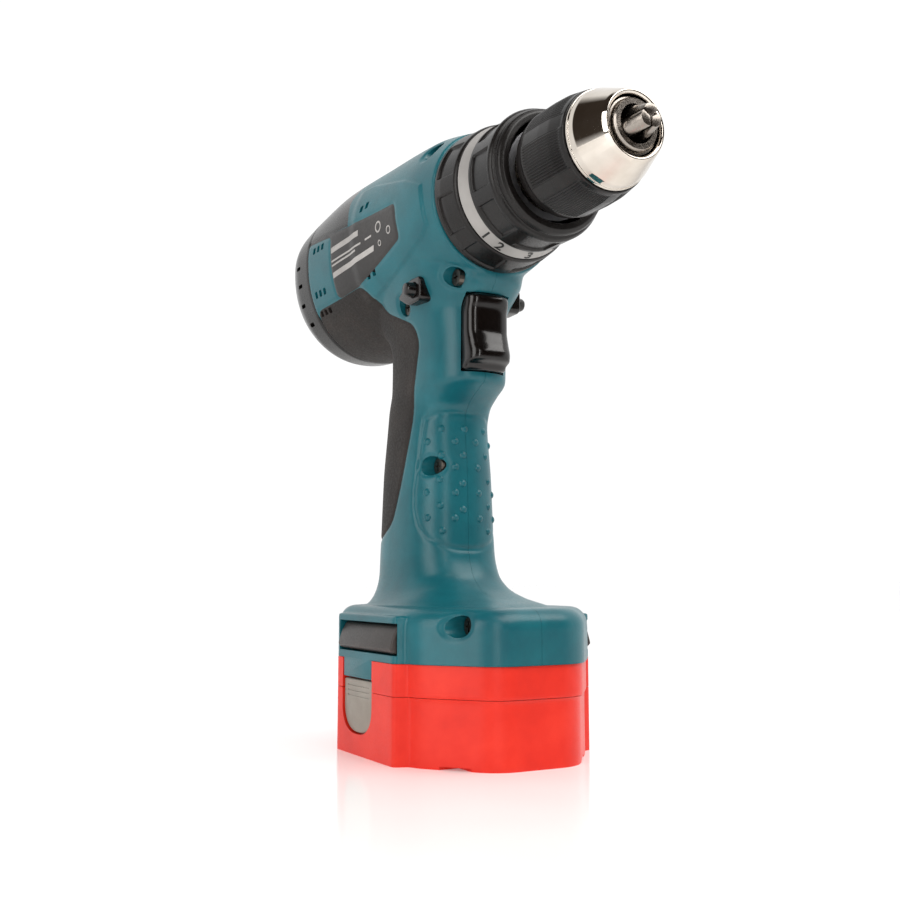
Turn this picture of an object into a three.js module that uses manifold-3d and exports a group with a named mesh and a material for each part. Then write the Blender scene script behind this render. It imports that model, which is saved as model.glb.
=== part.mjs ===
// Cordless hammer drill driver with a pod-style slide-off battery.
// Millimetres, +Z up, +X towards the chuck, +Y to the user's left.
// The origin is the centre of the battery's footprint on the surface it stands on.

import * as THREE from 'three';
import { mergeVertices } from 'three/addons/utils/BufferGeometryUtils.js';
import Module from 'manifold-3d';

const wasm = await Module();
wasm.setup();

// ---------------------------------------------------------------- driving sizes

const SPINDLE_Z = 221.4;          // height of the spindle axis
const WALL = 2.6;                 // housing wall
const GAP = 0.3;                  // clearance between pieces that touch
const FINE = 28;                  // sides of a large round piece
const COARSE = 16;                // sides of a small round piece
const FAR = 300;                  // beyond every part of the drill

const HOUSING_FRONT = 27.7;       // front rim of the motor and gear housing
const HOUSING_REAR = -119;        // rearmost point of the housing
const REAR_COVER_X = -86;         // seam between housing and rear cover
const RUBBER_DEPTH = 1.5;
const LABEL_DEPTH = 0.7;
const LABEL_INNER_Y = 10;         // nameplates keep this far from the middle plane

const BATTERY_HALF_LENGTH = 58;   // battery and foot, plan
const BATTERY_HALF_WIDTH = 41.5;
const BATTERY_FRONT_HALF = 18.4;  // half the width of the narrow front face
const BATTERY_REAR_HALF = 22;
const SIDE_FRONT_X = 30;          // the long side runs between these two
const SIDE_REAR_X = -36;
const PLAN_CORNER = 9;            // corner rounding of the plan
const BATTERY_INSET = 0.8;        // battery is this much smaller than the foot
const BATTERY_EDGE = 1;           // rounding of the bottom edge
const BULGE = 3.2;                // pad that carries the release button
const PAD_FRONT_X = 26;
const PAD_REAR_X = -27;
const PAD_SLOPE = 3;              // each end of the pad runs out over this length
const PAD_LOW_Z = 3;              // lower end of the raised pad
const PAD_ROOT = 6;               // how far the pad reaches into the body
const BATTERY_FLOOR = 2.6;
const BATTERY_SEAM_Z = 25.3;
const BATTERY_TOP_Z = 37.2;
const BATTERY_WALL = 2.2;
const FOOT_TOP_Z = 58;
const FOOT_EDGE = 7;              // rounding of the foot's top edge

const TOWER_X = -24;              // battery tower inside the handle
const CELL_R = 11;
const CELL_LENGTH = 30;
const TOWER_CELL_LENGTH = 43;
const TOWER_R = CELL_R + 2.4;
const TOWER_TOP_Z = 94;
const TOWER_CLEAR = 0.8;

const BUTTON_X = -7;              // release button, both sides
const BUTTON_WIDTH = 27;
const BUTTON_LOW_Z = 8.5;
const BUTTON_HIGH_Z = 29.2;
const BUTTON_CLEAR = 0.4;
const BUTTON_DEPTH = 3.1;
const LATCH_REAR_X = -24;         // dark latch cover in the foot above the button
const LATCH_FRONT_X = 26;
const LATCH_LOW_Z = 40.5;
const LATCH_HIGH_Z = 52;
const LATCH_DEPTH = 3;            // pocket depth below the flank

const RING_REAR_R = 29.4;         // mode ring and torque ring
const BAND_REAR_X = 43.1;
const BAND_REAR_R = RING_REAR_R - 2.2;
const BAND_FRONT_X = 49.1;
const BAND_FRONT_R = RING_REAR_R - 4;
const BAND_BORE_R = RING_REAR_R - 6;
const RING_FRONT_X = 70.8;
const RING_FRONT_R = RING_REAR_R - 5.6;

const CHUCK_REAR_X = 73;
const SLEEVE_FRONT_X = 102;
const SLEEVE_R = 20.6;
const SLEEVE_WALL = 2.2;
const NOSE_REAR_R = SLEEVE_R - 2.7;
const NOSE_REAR_X = 105.7;
const NOSE_FRONT_X = 117.9;
const NOSE_FRONT_R = 12.5;
const CHUCK_BORE_R = 4.4;
const JAW_ANGLE = THREE.MathUtils.degToRad(15);
const JAW_MEET_X = 130.5;         // where the three jaw axes meet
const JAW_R = 3;
const JAW_TIP_X = 126;
const JAW_LENGTH = 30;
const JAW_COUNT = 3;

const SUN_TEETH = 12;             // planetary gear stage
const PLANET_TEETH = 18;
const RING_TEETH = 48;
const GEAR_MODULE = 0.8;
const PLANET_COUNT = 3;
const PIN_R = 1.8;
const GEAR_X = -14;               // middle of the gear stage
const GEAR_WIDTH = 8;
const CASE_R = 24.6;              // gear case outside radius
const CASE_WALL = 2;
const CASE_REAR_X = -24;
const DRUM_FRONT_X = 6;           // front of the gear case's drum
const CASE_ROOM = 0.5;            // clearance of gear case and motor in the housing
const NECK_R = Math.min(RING_REAR_R - 11, CASE_R - 6.2);  // gear case neck inside the rings
const NECK_BORE_R = NECK_R - 2.8;
const NECK_FRONT_X = 66;
const RING_BORE_R = NECK_R + 2.8;
const SPRING_R = NECK_R + 1.8;    // clutch spring, middle of the wire
const SPRING_WIRE_R = 0.8;

const MOTOR_R = CASE_R - 2.6;
const MOTOR_FRONT_X = -30;
const MOTOR_REAR_X = -88;
const SHAFT_R = 2.5;
const PRESS = 0.2;                // clearance of pieces carried on the motor shaft

const TRIGGER_WIDTH = 18;
const TRIGGER_LOW_Z = SPINDLE_Z - 68.2;
const TRIGGER_HIGH_Z = SPINDLE_Z - 36.8;
const TRIGGER_FRONT_X = 24;
const TRIGGER_REAR_X = 10;
const TRIGGER_TRAVEL = 6;
const SWITCH_FRONT_X = 2.5;

const LEVER_X = 1.5;              // reversing lever
const LEVER_R = 4.2;
const LEVER_Z = SPINDLE_Z - Math.max(33.4, CASE_R + LEVER_R + 0.4);
const LEVER_REACH = 29;

const SELECTOR_HALF_WIDTH = 7.5;  // speed selector on top of the housing
const SELECTOR_REAR_X = -11;
const SELECTOR_FRONT_X = 7;
const SELECTOR_TRAVEL = 4;

const SCREW_HEAD_R = 3.4;
const SCREW_SHANK_R = 1.9;
const WELL_R = 4.1;
const SCREW_END = 7;              // how far a housing screw reaches into the left half

// ---------------------------------------------------------------- solid helpers

// Closed geometry to manifold solid, with its faces turned outwards.
function solid(geometry) {
  const plain = geometry.clone();
  for (const name of Object.keys(plain.attributes)) {
    if (name !== 'position') plain.deleteAttribute(name);
  }
  const merged = mergeVertices(plain, 1e-4);
  const points = merged.attributes.position.array;
  const corners = merged.index.array;
  const kept = [];
  for (let i = 0; i < corners.length; i += 3) {
    const [a, b, c] = [corners[i], corners[i + 1], corners[i + 2]];
    if (a !== b && b !== c && c !== a) kept.push(a, b, c);
  }
  if (signedVolume(points, kept) < 0) kept.reverse();
  return new wasm.Manifold(new wasm.Mesh({
    numProp: 3,
    vertProperties: new Float32Array(points),
    triVerts: new Uint32Array(kept),
  }));
}

function signedVolume(points, corners) {
  const [a, b, c] = [new THREE.Vector3(), new THREE.Vector3(), new THREE.Vector3()];
  let sum = 0;
  for (let i = 0; i < corners.length; i += 3) {
    a.fromArray(points, corners[i] * 3);
    b.fromArray(points, corners[i + 1] * 3);
    c.fromArray(points, corners[i + 2] * 3);
    sum += a.dot(b.cross(c));
  }
  return sum;
}

const join = (...parts) => parts.reduce((whole, part) => whole.add(part));
const cut = (base, ...tools) => tools.reduce((rest, tool) => rest.subtract(tool), base);
const common = (a, b) => a.intersect(b);

function box(x0, x1, y0, y1, z0, z1) {
  const geometry = new THREE.BoxGeometry(x1 - x0, y1 - y0, z1 - z0);
  geometry.translate((x0 + x1) / 2, (y0 + y1) / 2, (z0 + z1) / 2);
  return solid(geometry);
}

// Box on one flank, between two distances from the middle plane; side is -1 or 1.
function flankBox(x0, x1, inner, outer, z0, z1, side) {
  const [y0, y1] = side > 0 ? [inner, outer] : [-outer, -inner];
  return box(x0, x1, y0, y1, z0, z1);
}

// Round bar along X between x0 and x1, centred on (y, z).
function rodX(x0, x1, r, y = 0, z = SPINDLE_Z, sides = COARSE) {
  const geometry = new THREE.CylinderGeometry(r, r, x1 - x0, sides);
  geometry.rotateZ(-Math.PI / 2);
  geometry.translate((x0 + x1) / 2, y, z);
  return solid(geometry);
}

function rodY(y0, y1, r, x, z, sides = COARSE) {
  const geometry = new THREE.CylinderGeometry(r, r, y1 - y0, sides);
  geometry.translate(x, (y0 + y1) / 2, z);
  return solid(geometry);
}

function rodZ(z0, z1, r, x, y, sides = COARSE) {
  const geometry = new THREE.CylinderGeometry(r, r, z1 - z0, sides);
  geometry.rotateX(Math.PI / 2);
  geometry.translate(x, y, (z0 + z1) / 2);
  return solid(geometry);
}

// Turned piece on the spindle axis from a closed outline of [x, radius] points.
function turned(outline, sides = FINE) {
  const points = outline.map(([x, r]) => new THREE.Vector2(r, x));
  points.push(points[0].clone());
  const geometry = new THREE.LatheGeometry(points, sides);
  geometry.rotateZ(-Math.PI / 2);
  geometry.translate(0, 0, SPINDLE_Z);
  return solid(geometry);
}

// Tube on the spindle axis.
const tube = (x0, x1, outer, inner, sides = FINE) =>
  turned([[x0, inner], [x0, outer], [x1, outer], [x1, inner]], sides);

// Side outline in X and Z, extruded across Y.
function slab(points, y0, y1) {
  const shape = new THREE.Shape(points.map(([x, z]) => new THREE.Vector2(x, z)));
  const geometry = new THREE.ExtrudeGeometry(shape, { depth: y1 - y0, bevelEnabled: false });
  geometry.rotateX(Math.PI / 2);
  geometry.translate(0, y1, 0);
  return solid(geometry);
}

// Polygon with each corner replaced by a smooth curve.
function roundedShape(points, radius, steps = 3) {
  const corners = points.map(([x, y]) => new THREE.Vector2(x, y));
  const outline = corners.flatMap((corner, i) => {
    const before = corners[(i + corners.length - 1) % corners.length];
    const after = corners[(i + 1) % corners.length];
    const towards = (other) => {
      const length = corner.distanceTo(other);
      return corner.clone().lerp(other, Math.min(radius, length / 2.1) / length);
    };
    return new THREE.QuadraticBezierCurve(towards(before), corner, towards(after)).getPoints(steps);
  });
  return new THREE.Shape(outline);
}

// Plan shape extruded up from z0 to z1; edge rounds the top or the bottom rim.
function upright(shape, z0, z1, { topEdge = 0, bottomEdge = 0 } = {}) {
  const edge = Math.max(topEdge, bottomEdge);
  const bevel = {
    bevelEnabled: edge > 0,
    bevelThickness: edge,
    bevelSize: edge,
    bevelOffset: -edge,
    bevelSegments: 3,
  };
  const height = z1 - z0 + (topEdge ? 0 : edge) + (bottomEdge ? 0 : edge);
  const geometry = new THREE.ExtrudeGeometry(shape, { depth: height - 2 * edge, ...bevel });
  geometry.translate(0, 0, z0 + edge - (bottomEdge ? 0 : edge));
  return common(solid(geometry), box(-FAR, FAR, -FAR, FAR, z0, z1));
}

// Smooth curve through [position, value] pairs, flat at its ends.
function profile(pairs) {
  return (at) => {
    if (at <= pairs[0][0]) return pairs[0][1];
    const last = pairs.length - 1;
    if (at >= pairs[last][0]) return pairs[last][1];
    const i = pairs.findIndex(([position]) => position > at) - 1;
    const [p0, v0] = pairs[i];
    const [p1, v1] = pairs[i + 1];
    const slope = (a, b) => (pairs[b][1] - pairs[a][1]) / (pairs[b][0] - pairs[a][0]);
    const m0 = i > 0 ? limited(slope(i - 1, i), slope(i, i + 1)) : slope(i, i + 1);
    const m1 = i + 1 < last ? limited(slope(i, i + 1), slope(i + 1, i + 2)) : slope(i, i + 1);
    const t = (at - p0) / (p1 - p0);
    const h = p1 - p0;
    return (2 * t ** 3 - 3 * t ** 2 + 1) * v0 + (t ** 3 - 2 * t ** 2 + t) * h * m0
      + (3 * t ** 2 - 2 * t ** 3) * v1 + (t ** 3 - t ** 2) * h * m1;
  };
}

// Slope at a knot: zero at a peak, else the harmonic mean of its neighbours.
const limited = (a, b) => (a * b <= 0 ? 0 : (2 * a * b) / (a + b));

// Loft: a cylinder whose rings are moved onto the section that `place` returns.
function loft(stations, sides, place) {
  const rows = stations.length - 1;
  const geometry = new THREE.CylinderGeometry(1, 1, rows, sides, rows);
  const position = geometry.attributes.position;
  for (let i = 0; i < position.count; i += 1) {
    const station = stations[Math.round(position.getY(i) + rows / 2)];
    const [side, up] = [position.getX(i), position.getZ(i)];
    position.setXYZ(i, ...place(station, side, up));
  }
  return solid(geometry);
}

// Point of a superellipse in the direction (side, up), a unit vector or zero.
function superPoint(side, up, power) {
  const reach = Math.hypot(side, up);
  if (reach < 0.5) return [0, 0];
  const scale = (Math.abs(side) ** power + Math.abs(up) ** power) ** (-1 / power);
  return [side * scale, up * scale];
}

const steps = (from, to, count) =>
  Array.from({ length: count + 1 }, (_, i) => from + ((to - from) * i) / count);

// ---------------------------------------------------------------- housing surfaces

const barrelWidth = profile([
  [HOUSING_REAR, 18], [-116, 28], [-109, 35], [-98, 37.5], [-60, 36.5],
  [-20, 33], [10, 31.6], [HOUSING_FRONT, RING_REAR_R + 0.1],
]);
const barrelUp = profile([
  [HOUSING_REAR, 9], [-116, 17], [-109, 23.5], [-98, 28.5], [-84, 32], [-60, 35.5],
  [-20, 35], [10, 33.2], [HOUSING_FRONT, RING_REAR_R + 0.1],
]);
const barrelDown = profile([
  [HOUSING_REAR, 26], [-116, 35.5], [-109, 41.5], [-98, 46], [-75, 47],
  [-40, 42.5], [-10, 36], [10, 32.5], [HOUSING_FRONT, RING_REAR_R + 0.1],
]);

// Heights of the handle: lower ones follow the foot, upper ones the spindle.
const gripFront = profile([
  [FOOT_TOP_Z - 6, 52], [FOOT_TOP_Z, 40], [FOOT_TOP_Z + 3, 25], [FOOT_TOP_Z + 7, 14],
  [FOOT_TOP_Z + 13, 7.5], [FOOT_TOP_Z + 22, 4.6], [FOOT_TOP_Z + 54, 3.4],
  [SPINDLE_Z - 87.4, 1.5], [SPINDLE_Z - 80.4, 4], [SPINDLE_Z - 75.4, 11],
  [SPINDLE_Z - 71.4, 18], [SPINDLE_Z - 69.4, 18.5], [SPINDLE_Z - 42.4, 18.5],
  [SPINDLE_Z - 34.4, 24.5], [SPINDLE_Z - 30.4, 27.4], [SPINDLE_Z - 21.4, 27.4],
]);
const gripBack = profile([
  [FOOT_TOP_Z - 6, -56], [FOOT_TOP_Z, -54.5], [FOOT_TOP_Z + 4, -53], [FOOT_TOP_Z + 12, -52],
  [FOOT_TOP_Z + 54, -51], [SPINDLE_Z - 81.4, -47.5], [SPINDLE_Z - 56.4, -46],
  [SPINDLE_Z - 48.4, -48], [SPINDLE_Z - 42.4, -54], [SPINDLE_Z - 21.4, -60],
]);
const gripWidth = profile([
  [FOOT_TOP_Z - 6, 40], [FOOT_TOP_Z, 31], [FOOT_TOP_Z + 3, 27], [FOOT_TOP_Z + 7, 24],
  [FOOT_TOP_Z + 13, 22.2], [FOOT_TOP_Z + 22, 21.6], [FOOT_TOP_Z + 54, 20.2],
  [SPINDLE_Z - 81.4, 19], [SPINDLE_Z - 56.4, 19.2], [SPINDLE_Z - 43.4, 20.5],
  [SPINDLE_Z - 31.4, 24], [SPINDLE_Z - 21.4, 27],
]);

const BARREL_POWER = 2.15;
const GRIP_POWER = 2.5;

// Motor and gear barrel, shrunk by inset on every side.
function barrel(inset, front = HOUSING_FRONT, sides = 24) {
  const rear = HOUSING_REAR + inset;
  const domed = [HOUSING_REAR + 2.5, HOUSING_REAR + 6.5, HOUSING_REAR + 12.5].filter((x) => x > rear + 0.5);
  const stations = [rear, ...domed, ...steps(HOUSING_REAR + 21, front, 7)];
  return loft(stations, sides, (x, side, up) => {
    const [s, u] = superPoint(side, up, BARREL_POWER);
    const y = s * (barrelWidth(x) - inset);
    const z = u * ((u > 0 ? barrelUp(x) : barrelDown(x)) - inset);
    return [x, y, SPINDLE_Z + z];
  });
}

// Handle from the foot up into the barrel, shrunk by inset on every side.
function grip(inset, low = FOOT_TOP_Z - 6, high = SPINDLE_Z - 21.4, sides = 20) {
  const lower = [0, 2.5, 5, 9, 16, 30].map((rise) => FOOT_TOP_Z + rise);
  const upper = [87, 79, 75, 70, 56, 43, 34, 29].map((drop) => SPINDLE_Z - drop);
  const stations = [low, ...lower, ...upper, high];
  return loft(stations, sides, (z, side, forward) => {
    const [s, f] = superPoint(side, forward, GRIP_POWER);
    const middle = (gripFront(z) + gripBack(z)) / 2;
    const depth = (gripFront(z) - gripBack(z)) / 2 - inset;
    return [middle + f * depth, s * (gripWidth(z) - inset), z];
  });
}

// Plan of battery and foot: six-sided with a long straight flank on each side.
function podPlan(inset, frontX = BATTERY_HALF_LENGTH) {
  const right = [
    [frontX - inset, -(BATTERY_FRONT_HALF - inset * 0.6)],
    [SIDE_FRONT_X - inset * 0.3, -(BATTERY_HALF_WIDTH - inset)],
    [SIDE_REAR_X + inset * 0.3, -(BATTERY_HALF_WIDTH - inset)],
    [-(BATTERY_HALF_LENGTH - inset), -(BATTERY_REAR_HALF - inset * 0.3)],
  ];
  const left = right.map(([x, y]) => [x, -y]).reverse();
  return roundedShape([...right, ...left], Math.max(PLAN_CORNER - inset * 0.5, 2));
}

// Raised pad on one flank, around the release button.
function flankPad(inset, z0, z1, side) {
  const outer = BATTERY_HALF_WIDTH + BULGE - inset;
  const inner = BATTERY_HALF_WIDTH - PAD_ROOT;
  const points = [
    [PAD_FRONT_X + PAD_SLOPE, inner], [PAD_FRONT_X, outer],
    [PAD_REAR_X, outer], [PAD_REAR_X - PAD_SLOPE, inner],
  ].map(([x, y]) => [x, side * y]);
  return upright(roundedShape(points, 4), z0, z1);
}

function foot(inset) {
  const low = BATTERY_TOP_Z + GAP + inset;
  return join(
    upright(podPlan(inset), low, FOOT_TOP_Z - inset, { topEdge: FOOT_EDGE }),
    ...[-1, 1].map((side) => flankPad(inset, low, LATCH_HIGH_Z + 3 - inset, side)),
  );
}

// ---------------------------------------------------------------- housing pieces

const outerSkin = join(barrel(0), grip(0), foot(0));
const innerVoid = join(
  barrel(WALL, HOUSING_FRONT - WALL, 16),
  grip(WALL, FOOT_TOP_Z - 8, SPINDLE_Z - 26.4, 14),
  foot(WALL),
);

// Screws from the right: x, z and how far the seat lies from the middle plane.
const screwSpots = {
  front_low: [19.5, SPINDLE_Z - 30.9, 12],
  middle: [-13, SPINDLE_Z - 36.9, 17],
  front_top: [15, SPINDLE_Z + 22.1, 16],
  handle: [-3, FOOT_TOP_Z + 57.6, 8],
  foot_front: [45, FOOT_TOP_Z - 6.5, 21],
};

// Stepped well for a screw driven along Y from the right; head seat at depth.
const screwWell = ([x, z, seat]) => join(
  rodY(-60, -seat, WELL_R, x, z, 12),
  rodY(-seat - 1, SCREW_END + 1, SCREW_SHANK_R + GAP, x, z, 8),
);

// Bosses meet at the middle plane and carry the screws.
const screwBoss = ([x, z, seat]) => common(
  rodY(-seat - 12, seat + 6, WELL_R + 1.8, x, z, 12),
  outerSkin,
);

// Side outline of a nameplate, enlarged by grow.
function labelOutline(grow) {
  const [rear, front, top] = [-60.5 - grow, 1 + grow, SPINDLE_Z + 5.1 + grow];
  return [
    [rear, SPINDLE_Z - 22.9 - grow], [-36, SPINDLE_Z - 21.4 - grow], [front, SPINDLE_Z - 11.8 - grow],
    [front - 2, top - 1.5], [rear, top],
  ];
}

// Side outline of the rubber that covers the lower rear and the handle's back.
function rubberOutline(grow) {
  const rear = REAR_COVER_X + GAP - grow;
  const back = -60;
  return [
    [rear, SPINDLE_Z - 24.9 + grow], [-62, SPINDLE_Z - 24.4 + grow], [-38, SPINDLE_Z - 22.4 + grow],
    [-31 + grow, SPINDLE_Z - 35.4 + grow], [-8 + grow, SPINDLE_Z - 45.4 + grow],
    [-4.5 + grow, SPINDLE_Z - 53.4], [-10 + grow, SPINDLE_Z - 75.4], [-14 + grow, SPINDLE_Z - 94.4],
    [-18 + grow, FOOT_TOP_Z + 52], [-25 + grow, FOOT_TOP_Z + 34 - grow],
    [-38, FOOT_TOP_Z + 28 - grow], [back, FOOT_TOP_Z + 26 - grow],
    [back, SPINDLE_Z - 71.4], [rear, SPINDLE_Z - 61.4],
  ];
}

// What a region keeps when everything deeper than depth is taken away.
const skinOf = (region, depth) => cut(region, join(barrel(depth), grip(depth), foot(depth)));
const tongueOut = BATTERY_HALF_WIDTH + BULGE;
const batteryWell = rodZ(30, TOWER_TOP_Z + 3, TOWER_R + TOWER_CLEAR, TOWER_X, 0, FINE);
const triggerHalf = TRIGGER_WIDTH / 2 + 0.5;
const triggerPocket = box(
  TRIGGER_REAR_X - TRIGGER_TRAVEL - 1.5, 40, -triggerHalf, triggerHalf,
  TRIGGER_LOW_Z - 0.6, TRIGGER_HIGH_Z + 0.6,
);
const frontBore = rodX(-20, HOUSING_FRONT + 5, NECK_R + 0.6, 0, SPINDLE_Z, FINE);
const leverSlot = rodY(-60, 60, LEVER_R + 0.5, LEVER_X, LEVER_Z);
const selectorSlot = box(
  SELECTOR_REAR_X - SELECTOR_TRAVEL - 0.7, SELECTOR_FRONT_X + SELECTOR_TRAVEL + 0.7,
  -SELECTOR_HALF_WIDTH - 1.5, SELECTOR_HALF_WIDTH + 1.5, SPINDLE_Z + 20, SPINDLE_Z + 60,
);
const buttonTongue = (side) => flankBox(
  BUTTON_X - BUTTON_WIDTH / 2, BUTTON_X + BUTTON_WIDTH / 2,
  BATTERY_HALF_WIDTH - 1, tongueOut, BUTTON_HIGH_Z + GAP, BATTERY_TOP_Z + 3, side,
);
// Tongue of the foot that closes the battery's notch above the button.
const footTongue = (side) => flankBox(
  BUTTON_X - BUTTON_WIDTH / 2 + GAP, BUTTON_X + BUTTON_WIDTH / 2 - GAP,
  BATTERY_HALF_WIDTH - 1 + GAP, tongueOut, BUTTON_HIGH_Z + 2 * GAP, BATTERY_TOP_Z + 2, side,
);
const latchPocket = (side) => flankBox(
  LATCH_REAR_X, LATCH_FRONT_X, BATTERY_HALF_WIDTH - LATCH_DEPTH, tongueOut + 5,
  LATCH_LOW_Z, LATCH_HIGH_Z, side,
);

const rearBlock = box(-FAR, REAR_COVER_X, -FAR, FAR, 0, FAR);
const labelCut = skinOf(join(
  slab(labelOutline(GAP), -FAR, -LABEL_INNER_Y),
  slab(labelOutline(GAP), LABEL_INNER_Y, FAR),
), LABEL_DEPTH + GAP);
const rubberCut = skinOf(slab(rubberOutline(GAP), -FAR, FAR), RUBBER_DEPTH + GAP);

const shellBase = (() => {
  const bosses = join(...Object.values(screwSpots).map(screwBoss));
  const hollow = cut(outerSkin, innerVoid);
  const motorRoom = rodX(MOTOR_REAR_X - 4, DRUM_FRONT_X + GAP, CASE_R + CASE_ROOM, 0, SPINDLE_Z, FINE);
  return cut(
    join(hollow, bosses, footTongue(-1), footTongue(1)), labelCut, rubberCut, motorRoom, frontBore,
    batteryWell, triggerPocket, leverSlot, selectorSlot,
    latchPocket(-1), latchPocket(1),
    ...Object.values(screwSpots).map(screwWell),
  );
})();

function housingHalf(side) {
  const y0 = side > 0 ? GAP / 2 : -FAR;
  const y1 = side > 0 ? FAR : -GAP / 2;
  const half = box(REAR_COVER_X + GAP, FAR, y0, y1, 0, FAR);
  return largest(common(shellBase, half));
}

// The biggest connected body, when a cut leaves slivers behind.
function largest(whole) {
  const parts = whole.decompose();
  return parts.reduce((best, part) => (part.volume() > best.volume() ? part : best));
}

// Rear cap over the brushes, with four slits on each side.
function rearCover() {
  const room = rodX(HOUSING_REAR + 24, REAR_COVER_X + 10, CASE_R + CASE_ROOM);
  const shell = cut(common(outerSkin, rearBlock), join(barrel(WALL), room));
  const vents = [-1, 1].flatMap((side) => steps(HOUSING_REAR + 18, REAR_COVER_X - 5, 3).map((x) =>
    flankBox(x, x + 1.6, 10, 60, SPINDLE_Z - 22, SPINDLE_Z - 15, side)));
  return cut(shell, ...vents);
}

function rubberSkin(side) {
  const half = flankBox(-FAR, FAR, GAP / 2, FAR, 0, FAR, side);
  const region = common(slab(rubberOutline(0), -FAR, FAR), half);
  return largest(skinOf(common(region, outerSkin), RUBBER_DEPTH));
}

function nameplate(side) {
  const half = flankBox(-FAR, FAR, LABEL_INNER_Y, FAR, 0, FAR, side);
  const region = common(slab(labelOutline(0), -FAR, FAR), half);
  return largest(common(cut(barrel(0), barrel(LABEL_DEPTH)), region));
}

// Wedge-shaped cover in the pocket of the foot.
function latchCover(side) {
  const root = BATTERY_HALF_WIDTH - LATCH_DEPTH + GAP;
  const plate = [
    [root, LATCH_LOW_Z + GAP], [tongueOut - 0.6, LATCH_LOW_Z + GAP], [tongueOut + 1.6, LATCH_LOW_Z + 1.8],
    [tongueOut - 0.8, LATCH_HIGH_Z - 4], [tongueOut - 2.4, LATCH_HIGH_Z - GAP], [root, LATCH_HIGH_Z - GAP],
  ];
  const shape = new THREE.Shape(plate.map(([across, z]) => new THREE.Vector2(side * across, z)));
  const depth = LATCH_FRONT_X - LATCH_REAR_X - 2 * GAP;
  const geometry = new THREE.ExtrudeGeometry(shape, { depth, bevelEnabled: false });
  geometry.rotateX(Math.PI / 2);
  geometry.rotateZ(Math.PI / 2);
  geometry.translate(LATCH_REAR_X + GAP, 0, 0);
  return solid(geometry);
}

function housingScrew([x, z, seat]) {
  const head = rodY(-seat - GAP - 2.2, -seat - GAP, SCREW_HEAD_R, x, z, 16);
  const shank = rodY(-seat - 1, SCREW_END, SCREW_SHANK_R, x, z, 8);
  const slot = box(x - 2, x + 2, -seat - 4, -seat - 1.5, z - 0.4, z + 0.4);
  const cross = box(x - 0.4, x + 0.4, -seat - 4, -seat - 1.5, z - 2, z + 2);
  return cut(join(head, shank), slot, cross);
}

// ---------------------------------------------------------------- gears and motor

// Straight-toothed outline; tip and root are trimmed so meshing teeth run clear.
function gearShape(teeth, { internal = false, phase = 0 } = {}) {
  const pitch = (teeth * GEAR_MODULE) / 2;
  const tip = pitch + (internal ? -0.7 : 0.7) * GEAR_MODULE;
  const root = pitch + (internal ? 1.15 : -1.15) * GEAR_MODULE;
  const step = (2 * Math.PI) / teeth;
  const points = [];
  for (let i = 0; i < teeth; i += 1) {
    const middle = i * step + phase;
    for (const [r, share] of [[root, -0.27], [tip, -0.1], [tip, 0.1], [root, 0.27]]) {
      const angle = middle + share * step;
      points.push(new THREE.Vector2(r * Math.cos(angle), r * Math.sin(angle)));
    }
  }
  return points;
}

// Gear-shaped bar along X with its outline in Y and Z.
function gearBar(points, x0, x1, y = 0, z = SPINDLE_Z) {
  const shape = new THREE.Shape(points);
  const geometry = new THREE.ExtrudeGeometry(shape, { depth: x1 - x0, bevelEnabled: false });
  geometry.rotateX(Math.PI / 2);
  geometry.rotateZ(Math.PI / 2);
  geometry.translate(x0, y, z);
  return solid(geometry);
}

const PLANET_ORBIT = ((SUN_TEETH + PLANET_TEETH) * GEAR_MODULE) / 2;
const gearLow = GEAR_X - GEAR_WIDTH / 2;
const gearHigh = GEAR_X + GEAR_WIDTH / 2;
const planetAngles = Array.from({ length: PLANET_COUNT }, (_, i) => (i * 2 * Math.PI) / PLANET_COUNT);
const planetPlace = (angle) =>
  [PLANET_ORBIT * Math.cos(angle), SPINDLE_Z + PLANET_ORBIT * Math.sin(angle)];

function ringGear() {
  const outer = tube(gearLow - 1, gearHigh + 1, CASE_R - CASE_WALL - GAP, 10);
  return cut(outer, gearBar(gearShape(RING_TEETH, { internal: true }), gearLow - 2, gearHigh + 2));
}

const planetGear = (angle) => {
  const [y, z] = planetPlace(angle);
  // A tooth gap of each planet faces the sun gear's tooth.
  const phase = angle + Math.PI + Math.PI / PLANET_TEETH;
  return cut(gearBar(gearShape(PLANET_TEETH, { phase }), gearLow, gearHigh, y, z),
    rodX(gearLow - 1, gearHigh + 1, PIN_R + GAP / 3, y, z, 16));
};

function planetCarrier() {
  const pins = planetAngles.map((angle) =>
    rodX(gearLow - 0.5, gearHigh + 1, PIN_R, ...planetPlace(angle), 16));
  const disc = rodX(gearHigh + 0.4, gearHigh + 4.4, PLANET_ORBIT + 4, 0, SPINDLE_Z, FINE);
  return cut(join(disc, ...pins), rodX(gearHigh, gearHigh + 6, 5.2));
}

const shaftHole = rodX(-FAR, FAR, SHAFT_R + PRESS);
const rotorPinion = () =>
  cut(gearBar(gearShape(SUN_TEETH), gearLow - 1, gearHigh - 0.5), shaftHole);

// Steel can with its two magnets counted as part of the wall.
function motorCan() {
  const can = tube(MOTOR_REAR_X + 10, MOTOR_FRONT_X, MOTOR_R, MOTOR_R - 4.5, COARSE);
  const front = tube(MOTOR_FRONT_X - 2, MOTOR_FRONT_X, MOTOR_R - 1, 6, COARSE);
  return join(can, front);
}

function armature() {
  const stack = rodX(MOTOR_REAR_X + 20, MOTOR_FRONT_X - 12, MOTOR_R - 5.4, 0, SPINDLE_Z, COARSE);
  const slots = Array.from({ length: 6 }, (_, i) => {
    const angle = (i * Math.PI) / 3;
    const r = MOTOR_R - 6;
    return rodX(-FAR, FAR, 2.4, r * Math.cos(angle), SPINDLE_Z + r * Math.sin(angle), 8);
  });
  return cut(stack, ...slots, shaftHole);
}

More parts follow.
